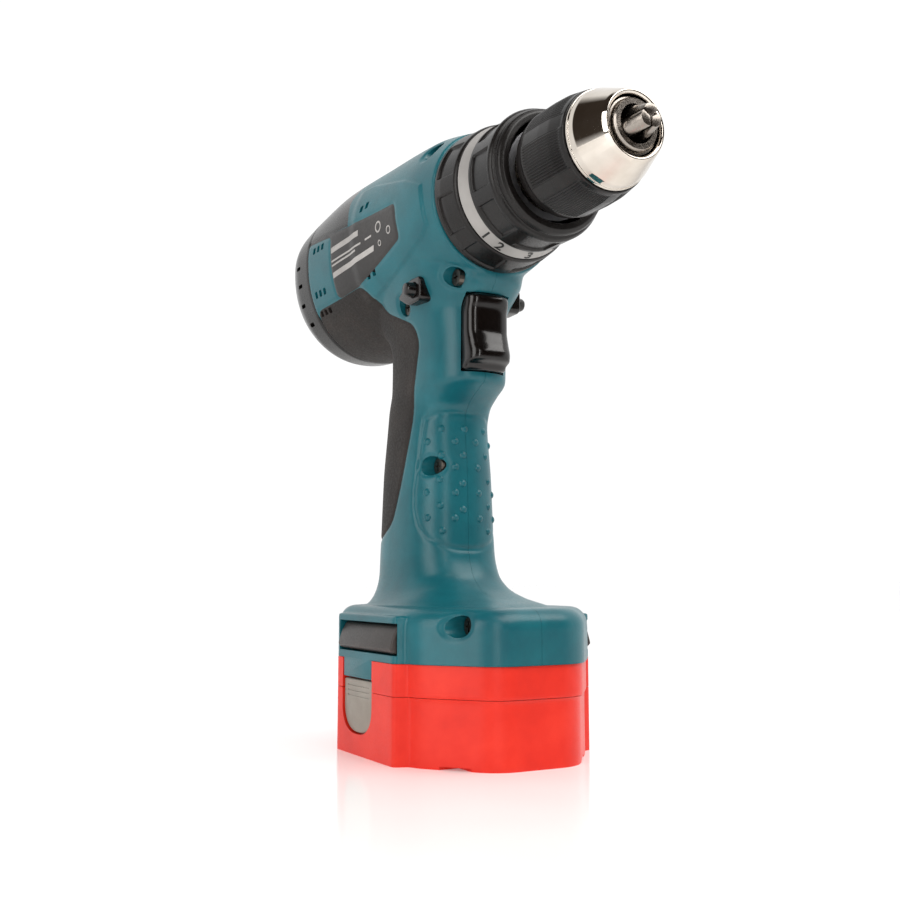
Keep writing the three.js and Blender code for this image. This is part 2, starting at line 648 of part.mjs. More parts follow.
const commutator = () => cut(rodX(MOTOR_REAR_X + 2.6, MOTOR_REAR_X + 16, 7), shaftHole);
const motorShaft = () => rodX(MOTOR_REAR_X - 2, gearHigh - 0.6, SHAFT_R);

function coolingFan() {
  const bore = SHAFT_R + PRESS;
  const hub = tube(MOTOR_FRONT_X - 9.5, MOTOR_FRONT_X - 4, 6, bore, COARSE);
  const disc = tube(MOTOR_FRONT_X - 4.5, MOTOR_FRONT_X - 3.3, MOTOR_R - 5.6, bore, COARSE);
  const blades = Array.from({ length: 8 }, (_, i) => {
    const geometry = new THREE.BoxGeometry(5.5, 11, 0.9);
    geometry.translate(MOTOR_FRONT_X - 6.6, 10.4, 0);
    geometry.rotateX((i * Math.PI) / 4);
    geometry.translate(0, 0, SPINDLE_Z);
    return solid(geometry);
  });
  return join(hub, disc, ...blades);
}

const brushBlock = (side) => flankBox(
  MOTOR_REAR_X + 2.6, MOTOR_REAR_X + 8, 7.5, 15, SPINDLE_Z - 2.4, SPINDLE_Z + 2.4, side,
);

// Cup that closes the back of the motor and carries the brushes.
function brushHolder() {
  const plate = tube(MOTOR_REAR_X, MOTOR_REAR_X + 9.7, MOTOR_R, 5.2);
  return cut(plate, tube(MOTOR_REAR_X + 1.8, MOTOR_REAR_X + 12, MOTOR_R - 2, 1));
}

// Drum round the gears with the long neck that the rings turn on.
const gearCase = () => turned([
  [CASE_REAR_X, 8.4], [CASE_REAR_X, CASE_R], [DRUM_FRONT_X, CASE_R], [DRUM_FRONT_X, NECK_R],
  [NECK_FRONT_X, NECK_R], [NECK_FRONT_X, NECK_BORE_R],
  [DRUM_FRONT_X - CASE_WALL, NECK_BORE_R], [DRUM_FRONT_X - CASE_WALL, CASE_R - CASE_WALL],
  [CASE_REAR_X + CASE_WALL, CASE_R - CASE_WALL], [CASE_REAR_X + CASE_WALL, 8.4],
]);

function clutchSpring() {
  const turns = 4;
  const [x0, x1] = [29.5, 46];
  const coil = new THREE.Curve();
  coil.getPoint = (t) => new THREE.Vector3(
    x0 + (x1 - x0) * t,
    SPRING_R * Math.cos(t * turns * 2 * Math.PI),
    SPINDLE_Z + SPRING_R * Math.sin(t * turns * 2 * Math.PI),
  );
  const wire = new THREE.Shape(Array.from({ length: 6 }, (_, i) => {
    const angle = (i * Math.PI) / 3;
    return new THREE.Vector2(SPRING_WIRE_R * Math.cos(angle), SPRING_WIRE_R * Math.sin(angle));
  }));
  const options = { steps: turns * 12, extrudePath: coil, bevelEnabled: false };
  return solid(new THREE.ExtrudeGeometry(wire, options));
}

// ---------------------------------------------------------------- spindle and chuck

const jawAngles = Array.from({ length: JAW_COUNT }, (_, i) =>
  Math.PI / 2 + (i * 2 * Math.PI) / JAW_COUNT);

// Round bar on a jaw's sloping axis; from and to are distances back from the meeting point.
function jawBar(angle, from, to, r, sides = COARSE) {
  const geometry = new THREE.CylinderGeometry(r, r, to - from, sides);
  geometry.rotateZ(-Math.PI / 2);
  geometry.translate(-(from + to) / 2, 0, 0);
  geometry.rotateY(JAW_ANGLE);
  geometry.rotateX(angle - Math.PI / 2);
  geometry.translate(JAW_MEET_X, 0, SPINDLE_Z);
  return solid(geometry);
}

// One jaw; it keeps to its own third, a little off the dividing planes.
function chuckJaw(angle) {
  const start = (JAW_MEET_X - JAW_TIP_X) / Math.cos(JAW_ANGLE) - 2;
  const bar = jawBar(angle, start, start + JAW_LENGTH, JAW_R);
  const front = box(-FAR, JAW_TIP_X, -FAR, FAR, 0, FAR * 2);
  const spoke = (turn, reach) =>
    new THREE.Vector2(Math.cos(angle + turn) * reach, Math.sin(angle + turn) * reach);
  const spread = Math.PI / JAW_COUNT;
  const outline = [spoke(0, 0.7), spoke(-spread, 60), spoke(0, 30), spoke(spread, 60)];
  return common(common(bar, front), gearBar(outline, 60, JAW_TIP_X + 4));
}

function chuckBody() {
  const shape = turned([
    [CHUCK_REAR_X + 1, 0], [CHUCK_REAR_X + 1, 11.4], [88, 11.4], [88, 14.2], [104, 14.2],
    [NOSE_FRONT_X - 2.6, 9.9], [NOSE_FRONT_X + 0.6, 9.2], [NOSE_FRONT_X + 0.6, 0],
  ]);
  const slots = jawAngles.map((angle) => jawBar(angle, -4, 62, JAW_R + 0.35, COARSE));
  return cut(shape, ...slots, rodX(100, 130, CHUCK_BORE_R), rodX(CHUCK_REAR_X - 3, 92, 4.2));
}

function chuckNose() {
  return turned([
    [SLEEVE_FRONT_X + GAP, 15.6], [SLEEVE_FRONT_X + GAP, NOSE_REAR_R + 0.4],
    [NOSE_REAR_X, NOSE_REAR_R], [NOSE_FRONT_X - 1.2, NOSE_FRONT_R + 0.5],
    [NOSE_FRONT_X, NOSE_FRONT_R - 0.6], [NOSE_FRONT_X - 0.4, 10.6],
    [NOSE_FRONT_X - 3.4, 11], [104.5, 15.2],
  ]);
}

function chuckSleeve() {
  const inner = SLEEVE_R - SLEEVE_WALL;
  return turned([
    [CHUCK_REAR_X, 12.2], [CHUCK_REAR_X, SLEEVE_R - 1.4], [CHUCK_REAR_X + 1.4, SLEEVE_R],
    [88, SLEEVE_R], [SLEEVE_FRONT_X, NOSE_REAR_R + 0.9], [SLEEVE_FRONT_X, 16],
    [98, inner - 1], [88, inner + 0.4],
    [CHUCK_REAR_X + SLEEVE_WALL, inner + 0.4], [CHUCK_REAR_X + SLEEVE_WALL, 12.2],
  ]);
}

const jawNut = () => tube(100.5, 104, 15, 14.4, FINE);

const spindleShaft = () => turned([
  [gearHigh + 0.6, 0], [gearHigh + 0.6, 5], [8, 5], [8, 8], [62, 8], [62, 6],
  [CHUCK_REAR_X + 0.6, 6], [CHUCK_REAR_X + 0.6, 3.9], [84, 3.9], [84, 0],
], COARSE);

const chuckScrew = () => cut(
  turned([[84.4, 0], [84.4, 3.9], [90, 3.9], [90, 4.1], [91.6, 4.1], [91.6, 0]], COARSE),
  box(90.4, 92, -2.8, 2.8, SPINDLE_Z - 0.5, SPINDLE_Z + 0.5),
);

const spindleBearing = () => tube(56, 62, NECK_BORE_R - 0.4, 8.4, COARSE);

// ---------------------------------------------------------------- rings

// Shallow grip pockets round a ring; each is a box turned about the spindle.
function gripPockets(count, x0, x1, r, phase = 0) {
  return Array.from({ length: count }, (_, i) => {
    const geometry = new THREE.BoxGeometry(x1 - x0, 7.5, 3);
    geometry.translate((x0 + x1) / 2, 0, r + 1.5);
    geometry.rotateX(((i + phase) * 2 * Math.PI) / count);
    geometry.translate(0, 0, SPINDLE_Z);
    return solid(geometry);
  });
}

const ringEdge = BAND_REAR_X - GAP;
const modeRing = () => cut(
  turned([
    [HOUSING_FRONT + GAP, RING_BORE_R + 1.2], [HOUSING_FRONT + GAP, RING_REAR_R], [33, RING_REAR_R - 0.2],
    [ringEdge - 1.2, BAND_REAR_R + 0.8], [ringEdge, BAND_REAR_R + 0.1], [ringEdge, RING_BORE_R + 1.2],
  ]),
  ...gripPockets(8, HOUSING_FRONT + 2.5, 39.5, RING_REAR_R - 1.4),
);

const numberBand = () => turned([
  [BAND_REAR_X, BAND_BORE_R], [BAND_REAR_X, BAND_REAR_R],
  [BAND_FRONT_X, BAND_FRONT_R], [BAND_FRONT_X, BAND_BORE_R],
]);

const torqueRing = () => cut(
  turned([
    [BAND_REAR_X, RING_BORE_R + 0.6], [BAND_REAR_X, BAND_BORE_R - GAP],
    [BAND_FRONT_X + GAP, BAND_BORE_R - GAP], [BAND_FRONT_X + GAP, BAND_FRONT_R + 0.7],
    [56, BAND_FRONT_R + 0.6], [64, BAND_FRONT_R + 0.6], [65.5, BAND_FRONT_R - 0.2],
    [RING_FRONT_X, RING_FRONT_R], [RING_FRONT_X, RING_BORE_R - 1], [68.6, RING_BORE_R - 1],
    [67, RING_BORE_R + 1.2], [54, RING_BORE_R + 1.2],
  ]),
  ...gripPockets(8, 51.5, 62, BAND_FRONT_R - 0.2, 0.5),
);

// ---------------------------------------------------------------- controls

// Hollow-fronted trigger with rounded front corners and a stem into the switch.
function trigger() {
  const half = TRIGGER_WIDTH / 2;
  const rear = TRIGGER_REAR_X;
  const front = TRIGGER_FRONT_X;
  const body = slab([
    [rear, TRIGGER_LOW_Z], [front + 1, TRIGGER_LOW_Z], [front + 2.4, TRIGGER_LOW_Z + 3],
    [front + 0.4, TRIGGER_LOW_Z + 8], [front - 1.2, TRIGGER_LOW_Z + 14.8],
    [front - 0.6, TRIGGER_LOW_Z + 23.8], [front + 1.4, TRIGGER_HIGH_Z - 3],
    [front - 0.5, TRIGGER_HIGH_Z], [rear, TRIGGER_HIGH_Z],
  ], -half, half);
  const plan = [[rear - 20, -half], [front + 3, -half], [front + 3, half], [rear - 20, half]];
  const rounding = upright(roundedShape(plan, 4), TRIGGER_LOW_Z - 1, TRIGGER_HIGH_Z + 1);
  const stem = box(rear - 4, rear + 2, -3, 3, TRIGGER_LOW_Z + 12.8, TRIGGER_LOW_Z + 18.8);
  return join(common(body, rounding), stem);
}

// Round bar through the housing, flattened where it meets the switch.
function reversingLever() {
  const bar = rodY(-LEVER_REACH, LEVER_REACH, LEVER_R, LEVER_X, LEVER_Z);
  const half = TRIGGER_WIDTH / 2 + 5;
  const flat = box(LEVER_X - 6, LEVER_X + 6, -half, half, LEVER_Z - 8, LEVER_Z - LEVER_R / 2);
  return cut(bar, flat);
}

const speedSelector = () => join(
  box(SELECTOR_REAR_X, SELECTOR_FRONT_X, -SELECTOR_HALF_WIDTH, SELECTOR_HALF_WIDTH,
    SPINDLE_Z + 29.5, SPINDLE_Z + 31.5),
  box(-5, 1, -5, 5, SPINDLE_Z + 31, SPINDLE_Z + 34.2),
);

const switchBody = () => cut(
  box(-33, SWITCH_FRONT_X, -12, 12, TRIGGER_LOW_Z - 0.2, TRIGGER_LOW_Z + 23.8),
  box(-4, SWITCH_FRONT_X + 1, -4, 4, TRIGGER_LOW_Z + 11.8, TRIGGER_LOW_Z + 19.8),
);

// ---------------------------------------------------------------- battery

const CELL_PITCH = 2 * CELL_R + 0.5;
const ROW_PITCH = 20;
const FRONT_ROW_X = 41;
const cellRows = [1, 2, 3, 3, 2].map((count, i) => [FRONT_ROW_X - i * ROW_PITCH, count]);

// Cells joined by nickel strips into one welded pack.
function cellPack() {
  const low = BATTERY_FLOOR + 0.8;
  const high = low + CELL_LENGTH;
  const spots = cellRows.flatMap(([x, count]) =>
    Array.from({ length: count }, (_, i) => [x, (i - (count - 1) / 2) * CELL_PITCH]));
  const cells = spots.map(([x, y]) => rodZ(low, high, CELL_R, x, y, 12));
  const spine = box(FRONT_ROW_X - 4 * ROW_PITCH, FRONT_ROW_X, -4, 4, high - 0.4, high + 0.3);
  const ties = cellRows.slice(1).map(([x]) =>
    box(x - 4, x + 4, -CELL_R * 2, CELL_R * 2, high - 0.4, high + 0.3));
  return join(...cells, spine, ...ties);
}

// U-shaped block through one flank, as wide as the button plus grow all round.
function buttonPocket(side, grow) {
  const half = BUTTON_WIDTH / 2 + grow;
  const bow = BUTTON_WIDTH / 2 - 3;
  const low = BUTTON_LOW_Z + bow;
  const shape = new THREE.Shape();
  shape.moveTo(BUTTON_X - half, BUTTON_HIGH_Z + grow);
  shape.lineTo(BUTTON_X - half, low);
  shape.absellipse(BUTTON_X, low, half, bow + grow, Math.PI, 2 * Math.PI, false);
  shape.lineTo(BUTTON_X + half, BUTTON_HIGH_Z + grow);
  shape.closePath();
  const depth = 9;
  const geometry = new THREE.ExtrudeGeometry(shape, { depth, bevelEnabled: false, curveSegments: 12 });
  geometry.rotateX(Math.PI / 2);
  geometry.translate(0, side > 0 ? tongueOut + 1 : depth - tongueOut - 1, 0);
  return solid(geometry);
}

const buttonHoles = () => [-1, 1].map((side) => buttonPocket(side, BUTTON_CLEAR));

const batteryShell = (z0, z1, inset, options) => join(
  upright(podPlan(inset), z0, z1, options),
  ...[-1, 1].map((side) => flankPad(0, Math.max(z0, PAD_LOW_Z), z1, side)),
);

function batteryLower() {
  const top = BATTERY_SEAM_Z - GAP / 2;
  const outside = batteryShell(0, top, 2 * BATTERY_INSET, { bottomEdge: BATTERY_EDGE });
  const room = upright(podPlan(BATTERY_WALL + 2 * BATTERY_INSET), BATTERY_FLOOR, top + 5);
  return largest(cut(outside, room, ...buttonHoles()));
}

// Lid with the tower that plugs into the handle.
function batteryUpper() {
  const low = BATTERY_SEAM_Z + GAP / 2;
  const outside = batteryShell(low, BATTERY_TOP_Z, BATTERY_INSET, {});
  const room = upright(podPlan(BATTERY_WALL + BATTERY_INSET), low - 5, BATTERY_TOP_Z - BATTERY_WALL);
  const tower = rodZ(BATTERY_TOP_Z - 3, TOWER_TOP_Z, TOWER_R, TOWER_X, 0, FINE);
  const towerRoom = rodZ(0, TOWER_TOP_Z - 2, CELL_R + 0.5, TOWER_X, 0, COARSE);
  const tongues = [-1, 1].map(buttonTongue);
  return largest(cut(join(cut(outside, room), tower), towerRoom, ...buttonHoles(), ...tongues));
}

const towerCell = () =>
  rodZ(TOWER_TOP_Z - 2.4 - TOWER_CELL_LENGTH, TOWER_TOP_Z - 2.4, CELL_R, TOWER_X, 0, COARSE);

const releaseButton = (side) => common(
  buttonPocket(side, 0),
  flankBox(-FAR, FAR, tongueOut - 0.6 - BUTTON_DEPTH, tongueOut - 0.6, 0, FAR, side),
);

const terminal = (side) => flankBox(
  TOWER_X - 4, TOWER_X + 4, 5.8, 8.2, TOWER_TOP_Z + GAP, TOWER_TOP_Z + 9, side,
);
const terminalBlock = () => cut(
  box(TOWER_X - 9, TOWER_X + 9, -12, 12, TOWER_TOP_Z + 10, TOWER_TOP_Z + 19),
  box(TOWER_X - 5, TOWER_X + 5, -5, 5, TOWER_TOP_Z + 12, TOWER_TOP_Z + 25),
);

// ---------------------------------------------------------------- scene graph

const drill = new THREE.Group();
drill.name = 'cordless_drill';

const finishes = {
  teal: { color: 0x2a7580, roughness: 0.42, metalness: 0 },
  black: { color: 0x262220, roughness: 0.4, metalness: 0 },
  rubber: { color: 0x4a4340, roughness: 0.85, metalness: 0 },
  label: { color: 0x2f2c2b, roughness: 0.5, metalness: 0 },
  red: { color: 0xff4534, roughness: 0.4, metalness: 0 },
  button: { color: 0x9c958a, roughness: 0.45, metalness: 0 },
  silver: { color: 0xb5b0ad, roughness: 0.45, metalness: 0 },
  chrome: { color: 0xe8e4de, roughness: 0.08, metalness: 1 },
  steel: { color: 0x8f8b86, roughness: 0.3, metalness: 1 },
  zinc: { color: 0x77787a, roughness: 0.5, metalness: 1 },
  copper: { color: 0xb87333, roughness: 0.4, metalness: 1 },
  carbon: { color: 0x333333, roughness: 0.7, metalness: 0 },
  cell: { color: 0x3f6fae, roughness: 0.5, metalness: 0 },
};

// Adds one named piece to the drill.
function add(name, piece, finish) {
  const mesh = piece.getMesh();
  const geometry = new THREE.BufferGeometry();
  const points = Float32Array.from(mesh.vertProperties);
  geometry.setAttribute('position', new THREE.BufferAttribute(points, 3));
  geometry.setIndex(new THREE.BufferAttribute(Uint32Array.from(mesh.triVerts), 1));
  geometry.computeVertexNormals();
  const node = new THREE.Mesh(geometry, new THREE.MeshStandardMaterial(finishes[finish]));
  node.name = name;
  drill.add(node);
}

add('housing_right', housingHalf(-1), 'teal');
add('housing_left', housingHalf(1), 'teal');
add('rear_cover', rearCover(), 'black');
add('grip_right', rubberSkin(-1), 'rubber');
add('grip_left', rubberSkin(1), 'rubber');
add('nameplate_right', nameplate(-1), 'label');
add('nameplate_left', nameplate(1), 'label');
add('latch_cover_right', latchCover(-1), 'black');
add('latch_cover_left', latchCover(1), 'black');
for (const [name, spot] of Object.entries(screwSpots)) {
  add(`housing_screw_${name}`, housingScrew(spot), 'steel');
}

add('gear_case', gearCase(), 'zinc');
add('ring_gear', ringGear(), 'steel');
add('motor_can', motorCan(), 'steel');
add('brush_holder', brushHolder(), 'black');
add('brush_right', brushBlock(-1), 'carbon');
add('brush_left', brushBlock(1), 'carbon');
add('clutch_spring', clutchSpring(), 'steel');
add('spindle_bearing', spindleBearing(), 'steel');
add('switch_body', switchBody(), 'black');
add('terminal_block', terminalBlock(), 'black');

add('armature', armature(), 'copper');
add('motor_shaft', motorShaft(), 'steel');
add('commutator', commutator(), 'copper');
add('cooling_fan', coolingFan(), 'black');
add('motor_pinion', rotorPinion(), 'steel');
planetAngles.forEach((angle, i) => add(`planet_gear_${i + 1}`, planetGear(angle), 'steel'));

add('planet_carrier', planetCarrier(), 'steel');
add('spindle_shaft', spindleShaft(), 'steel');
add('chuck_screw', chuckScrew(), 'steel');
add('chuck_body', chuckBody(), 'steel');
jawAngles.forEach((angle, i) => add(`chuck_jaw_${i + 1}`, chuckJaw(angle), 'steel'));
add('chuck_sleeve', chuckSleeve(), 'black');
add('chuck_nose', chuckNose(), 'chrome');
add('jaw_nut', jawNut(), 'steel');

add('mode_ring', modeRing(), 'black');
add('torque_ring', torqueRing(), 'black');
add('number_band', numberBand(), 'silver');

add('trigger', trigger(), 'black');
add('reversing_lever', reversingLever(), 'black');
add('speed_selector', speedSelector(), 'black');

add('battery_lower', batteryLower(), 'red');
add('battery_upper', batteryUpper(), 'red');
add('cell_pack', cellPack(), 'cell');
add('tower_cell', towerCell(), 'cell');
add('terminal_right', terminal(-1), 'copper');
add('terminal_left', terminal(1), 'copper');
add('release_button_right', releaseButton(-1), 'button');
add('release_button_left', releaseButton(1), 'button');

export default drill;
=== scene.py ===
"""Cordless drill: the visible surfaces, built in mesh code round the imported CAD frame.

Sizes are millimetres in the frame's own axes; meshes turn to metres as they are made.
"""

import logging
import math
from dataclasses import dataclass
from enum import Enum
from typing import Callable, Sequence

import bmesh
import bpy
import numpy as np
from mathutils import Matrix, Vector


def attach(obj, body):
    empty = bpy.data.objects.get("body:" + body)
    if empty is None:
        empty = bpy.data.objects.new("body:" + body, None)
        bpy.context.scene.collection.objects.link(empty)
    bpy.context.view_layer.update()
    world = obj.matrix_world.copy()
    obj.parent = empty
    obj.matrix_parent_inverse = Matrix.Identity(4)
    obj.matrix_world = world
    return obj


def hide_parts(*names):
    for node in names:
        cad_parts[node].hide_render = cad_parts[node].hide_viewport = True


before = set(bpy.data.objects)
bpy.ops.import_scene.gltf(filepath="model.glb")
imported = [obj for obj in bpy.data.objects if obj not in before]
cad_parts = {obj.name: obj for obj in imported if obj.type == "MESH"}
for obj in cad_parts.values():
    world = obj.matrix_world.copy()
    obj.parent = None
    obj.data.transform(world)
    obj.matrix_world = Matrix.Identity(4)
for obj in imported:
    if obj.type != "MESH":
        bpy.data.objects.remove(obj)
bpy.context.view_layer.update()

LOG = logging.getLogger("drill")
MM = 0.001
AXIS_Z = 221.4  # height of the spindle
SEAM_X = -86.0  # rear cap against the housing
FOOT_LOW_Z = 37.5
REAR_X, TOP_Z = -118.98, 256.8  # furthest back and highest point of the housing
RIGHT, LEFT = -1, 1
SIDES = ((RIGHT, "right"), (LEFT, "left"))
ALL = (-400.0, 400.0)  # limits that take in the whole drill
TOWER_X = -24.0  # axis of the battery's tower
LEVER_X, LEVER_Z = 1.5, 188.0  # axis of the reversing lever
Point2 = tuple[float, float]
Point3 = tuple[float, float, float]
Outline = Sequence[Point2]


# ---------------------------------------------------------------- finishes


def linear(code: str) -> tuple[float, float, float, float]:
    """Turns an sRGB hex colour into the linear values the shader wants."""
    parts = [int(code[i : i + 2], 16) / 255 for i in (1, 3, 5)]
    bent = [c / 12.92 if c <= 0.04045 else ((c + 0.055) / 1.055) ** 2.4 for c in parts]
    return (bent[0], bent[1], bent[2], 1.0)


class Grain(Enum):
    """How the fine pattern of a surface runs."""

    EVEN = (1.0, 1.0, 1.0)
    TURNED = (14.0, 1.0, 1.0)  # lathe marks round the spindle
    DRAWN = (1.0, 1.0, 14.0)


def add_node(
    tree: bpy.types.NodeTree, kind: str, links: dict | None = None, **settings: object
) -> bpy.types.Node:
    """Adds one shader node.

    Args:
        tree: The tree it goes in.
        kind: The node's Blender type.
        links: Input names or numbers mapped to an output socket or a plain value.
        settings: Attributes set on the node itself.

    Returns:
        The new node.
    """
    node = tree.nodes.new(kind)
    for key, value in settings.items():
        setattr(node, key, value)
    for key, value in (links or {}).items():
        if isinstance(value, bpy.types.NodeSocket):
            tree.links.new(value, node.inputs[key])
        else:
            node.inputs[key].default_value = value
    return node


def set_ramp(node: bpy.types.Node, stops: Sequence[tuple[float, tuple]]) -> None:
    """Writes a colour ramp's stops as (place, linear colour)."""
    ramp = node.color_ramp
    while len(ramp.elements) < len(stops):
        ramp.elements.new(0.5)
    for element, (place, colour) in zip(ramp.elements, stops):
        element.position, element.color = place, colour


@dataclass(frozen=True)
class Finish:
    """A real material and how its surface was made.

    The pattern sizes are real millimetres; finer grain than 0.5 mm is drawn at 0.5 mm or more,
    because anything smaller turns to noise at arm's length.
    """

    name: str
    shade: str
    base: str
    tint: str
    roughness: tuple[float, float]
    grain_mm: float
    bump_mm: float
    blotch_mm: float = 22.0
    metallic: float = 0.0
    coat: float = 0.0
    specular: float = 0.5
    grain: Grain = Grain.EVEN

    def material(self) -> bpy.types.Material:
        """Returns this finish as a material, made on the first call."""
        found = bpy.data.materials.get(self.name)
        if found:
            return found
        made = bpy.data.materials.new(self.name)
        made.use_nodes = True
        tree = made.node_tree
        shader = tree.nodes["Principled BSDF"]
        place = add_node(tree, "ShaderNodeTexCoord").outputs["Object"]
        run = add_node(
            tree, "ShaderNodeVectorMath", {0: place, 1: self.grain.value}, operation="MULTIPLY"
        ).outputs[0]
        # broad clouding, as pigment and handling leave it
        cloud = add_node(
            tree, "ShaderNodeTexNoise",
            {"Vector": place, "Scale": 1 / (self.blotch_mm * MM), "Detail": 4.0, "Roughness": 0.6},
        )
        ramp = add_node(tree, "ShaderNodeValToRGB", {"Fac": cloud.outputs["Fac"]})
        set_ramp(ramp, [(0.3, linear(self.shade)), (0.5, linear(self.base)), (0.7, linear(self.tint))])
        # fine grain of the mould, the tool or the casting
        fine = add_node(
            tree, "ShaderNodeTexNoise",
            {"Vector": run, "Scale": 1 / (self.grain_mm * MM), "Detail": 3.0, "Roughness": 0.55},
        )
        gloss = add_node(
            tree, "ShaderNodeMapRange",
            {"Value": fine.outputs["Fac"], "From Min": 0.3, "From Max": 0.7,
             "To Min": self.roughness[0], "To Max": self.roughness[1]},
        )
        bump = add_node(
            tree, "ShaderNodeBump",
            {"Height": fine.outputs["Fac"], "Strength": 0.6, "Distance": self.bump_mm * MM},
        )
        tree.links.new(ramp.outputs["Color"], shader.inputs["Base Color"])
        tree.links.new(gloss.outputs["Result"], shader.inputs["Roughness"])
        tree.links.new(bump.outputs["Normal"], shader.inputs["Normal"])
        shader.inputs["Metallic"].default_value = self.metallic
        shader.inputs["Coat Weight"].default_value = self.coat
        shader.inputs["Coat Roughness"].default_value = 0.12
        if not self.metallic:
            shader.inputs["IOR"].default_value = 1.5
            shader.inputs["Specular IOR Level"].default_value = self.specular
        return made


# Glass-filled nylon from a spark-eroded mould: a soft speckled sheen on the teal.
NYLON_TEAL = Finish("glass_filled_nylon_moulded_teal", "#0F5560", "#115E68", "#156772",
                     (0.28, 0.40), 0.7, 0.05, specular=0.4)
# The same nylon in carbon black, with a satin mould face: rings, sleeve and inner fittings.
NYLON_BLACK = Finish("glass_filled_nylon_moulded_black", "#0B0908", "#100D0C", "#171312",
                     (0.26, 0.38), 0.6, 0.03, specular=0.35)
# Rear cap: black nylon from a more polished mould, so that it throws a light edge.
NYLON_CAP = Finish("nylon_polished_mould_black", "#0C0A09", "#110F0E", "#181514",
                   (0.20, 0.30), 0.6, 0.02, specular=0.45)
# Trigger: acetal from a polished mould, nearly wet looking.
ACETAL_BLACK = Finish("acetal_polished_mould_black", "#0A0605", "#0E0908", "#140D0B",
                      (0.16, 0.24), 0.8, 0.01, coat=0.15, specular=0.4)
# Thermoplastic rubber over the grip: a sandy, light-swallowing skin.
RUBBER = Finish("thermoplastic_rubber_sanded_mould", "#181412", "#211C19", "#2E2723",
                (0.55, 0.75), 0.9, 0.25, specular=0.4)
# Printed foil on the flanks: flat and dark. Its thin tail along the hood's lower edge is painted groove
# shade, not foil.
LABEL = Finish("printed_foil_charcoal", "#1B1817", "#211E1D", "#282422", (0.36, 0.46), 1.2, 0.01)
# The foil's pale ink: only slightly lighter than paper grey.
INK = Finish("screen_ink_pale_grey", "#9B9896", "#ABA8A5", "#B9B6B3", (0.45, 0.55), 1.0, 0.01)
# Digits on the scale: dense black ink.
INK_BLACK = Finish("pad_print_ink_black", "#161413", "#1B1918", "#22201E", (0.4, 0.5), 1.0, 0.01)
# Battery: ABS in signal red, fine mould grain that keeps a soft highlight.
ABS_RED = Finish("abs_moulded_signal_red", "#DB2412", "#E52A17", "#EC3320", (0.34, 0.46), 0.8, 0.03,
                 specular=0.35)
# Release buttons: warm grey acetal, satin.
ACETAL_GREY = Finish("acetal_moulded_warm_grey", "#857D72", "#91897E", "#9C948A", (0.3, 0.42), 0.7, 0.02)
# Latch covers: dusty brown-grey nylon.
NYLON_GREY = Finish("nylon_moulded_brown_grey", "#26211E", "#2F2926", "#3A332F", (0.34, 0.48), 0.7, 0.04)
# Scale band: silver paint over plastic, so no mirror reflection.
PAINT_SILVER = Finish("silver_paint_sprayed", "#9B9896", "#A5A29F", "#AEABA8", (0.4, 0.5), 0.5, 0.012,
                      metallic=0.35)
# Nose: polished hard chrome, mirror with the faintest ripple.
CHROME = Finish("hard_chrome_polished", "#C9C0B4", "#D8D0C6", "#E6DFD6", (0.03, 0.07), 5.0, 0.012,
                metallic=1.0)
# Chuck body, jaws, shafts and gears: ground steel with fine turning marks.
STEEL = Finish("steel_ground_bare", "#8A837B", "#98918A", "#A69F98", (0.2, 0.3), 0.6, 0.006,
               metallic=1.0, grain=Grain.TURNED)
# Gear case: die-cast aluminium, greyer and rougher than the steel.
ALLOY = Finish("aluminium_die_cast", "#77777A", "#8A8A8D", "#9C9C9F", (0.4, 0.55), 0.8, 0.05,
               metallic=1.0)
# Windings and commutator.
COPPER = Finish("copper_drawn_wire", "#8A4B2B", "#A85F38", "#C07548", (0.25, 0.4), 0.8, 0.03,
                metallic=1.0, grain=Grain.DRAWN)
CARBON = Finish("carbon_pressed", "#161616", "#1E1E1E", "#282828", (0.55, 0.7), 0.6, 0.04)
# Cells: heat-shrink film over steel cans.
SHRINK = Finish("pvc_shrink_film_green", "#2C4A38", "#335543", "#3C6150", (0.25, 0.35), 1.5, 0.02)
# Zinc-plated screws.
ZINC = Finish("steel_zinc_plated", "#55504B", "#645E58", "#766F68", (0.3, 0.45), 0.8, 0.02, metallic=1.0)

# CAD nodes that stay visible, by finish.
CARRIED: dict[Finish, tuple[str, ...]] = {
    ZINC: tuple(f"housing_screw_{n}" for n in ("front_low", "middle", "front_top", "handle", "foot_front")),
    ALLOY: ("gear_case",),
    STEEL: ("ring_gear", "motor_can", "clutch_spring", "spindle_bearing", "motor_shaft", "motor_pinion",
            "planet_gear_1", "planet_gear_2", "planet_gear_3", "planet_carrier", "spindle_shaft",
            "chuck_screw", "jaw_nut", "terminal_right", "terminal_left"),
    NYLON_BLACK: ("brush_holder", "switch_body", "terminal_block", "cooling_fan", "speed_selector"),
    CARBON: ("brush_right", "brush_left"),
    COPPER: ("armature", "commutator"),
    SHRINK: ("cell_pack", "tower_cell"),
}


# ---------------------------------------------------------------- geometry helpers


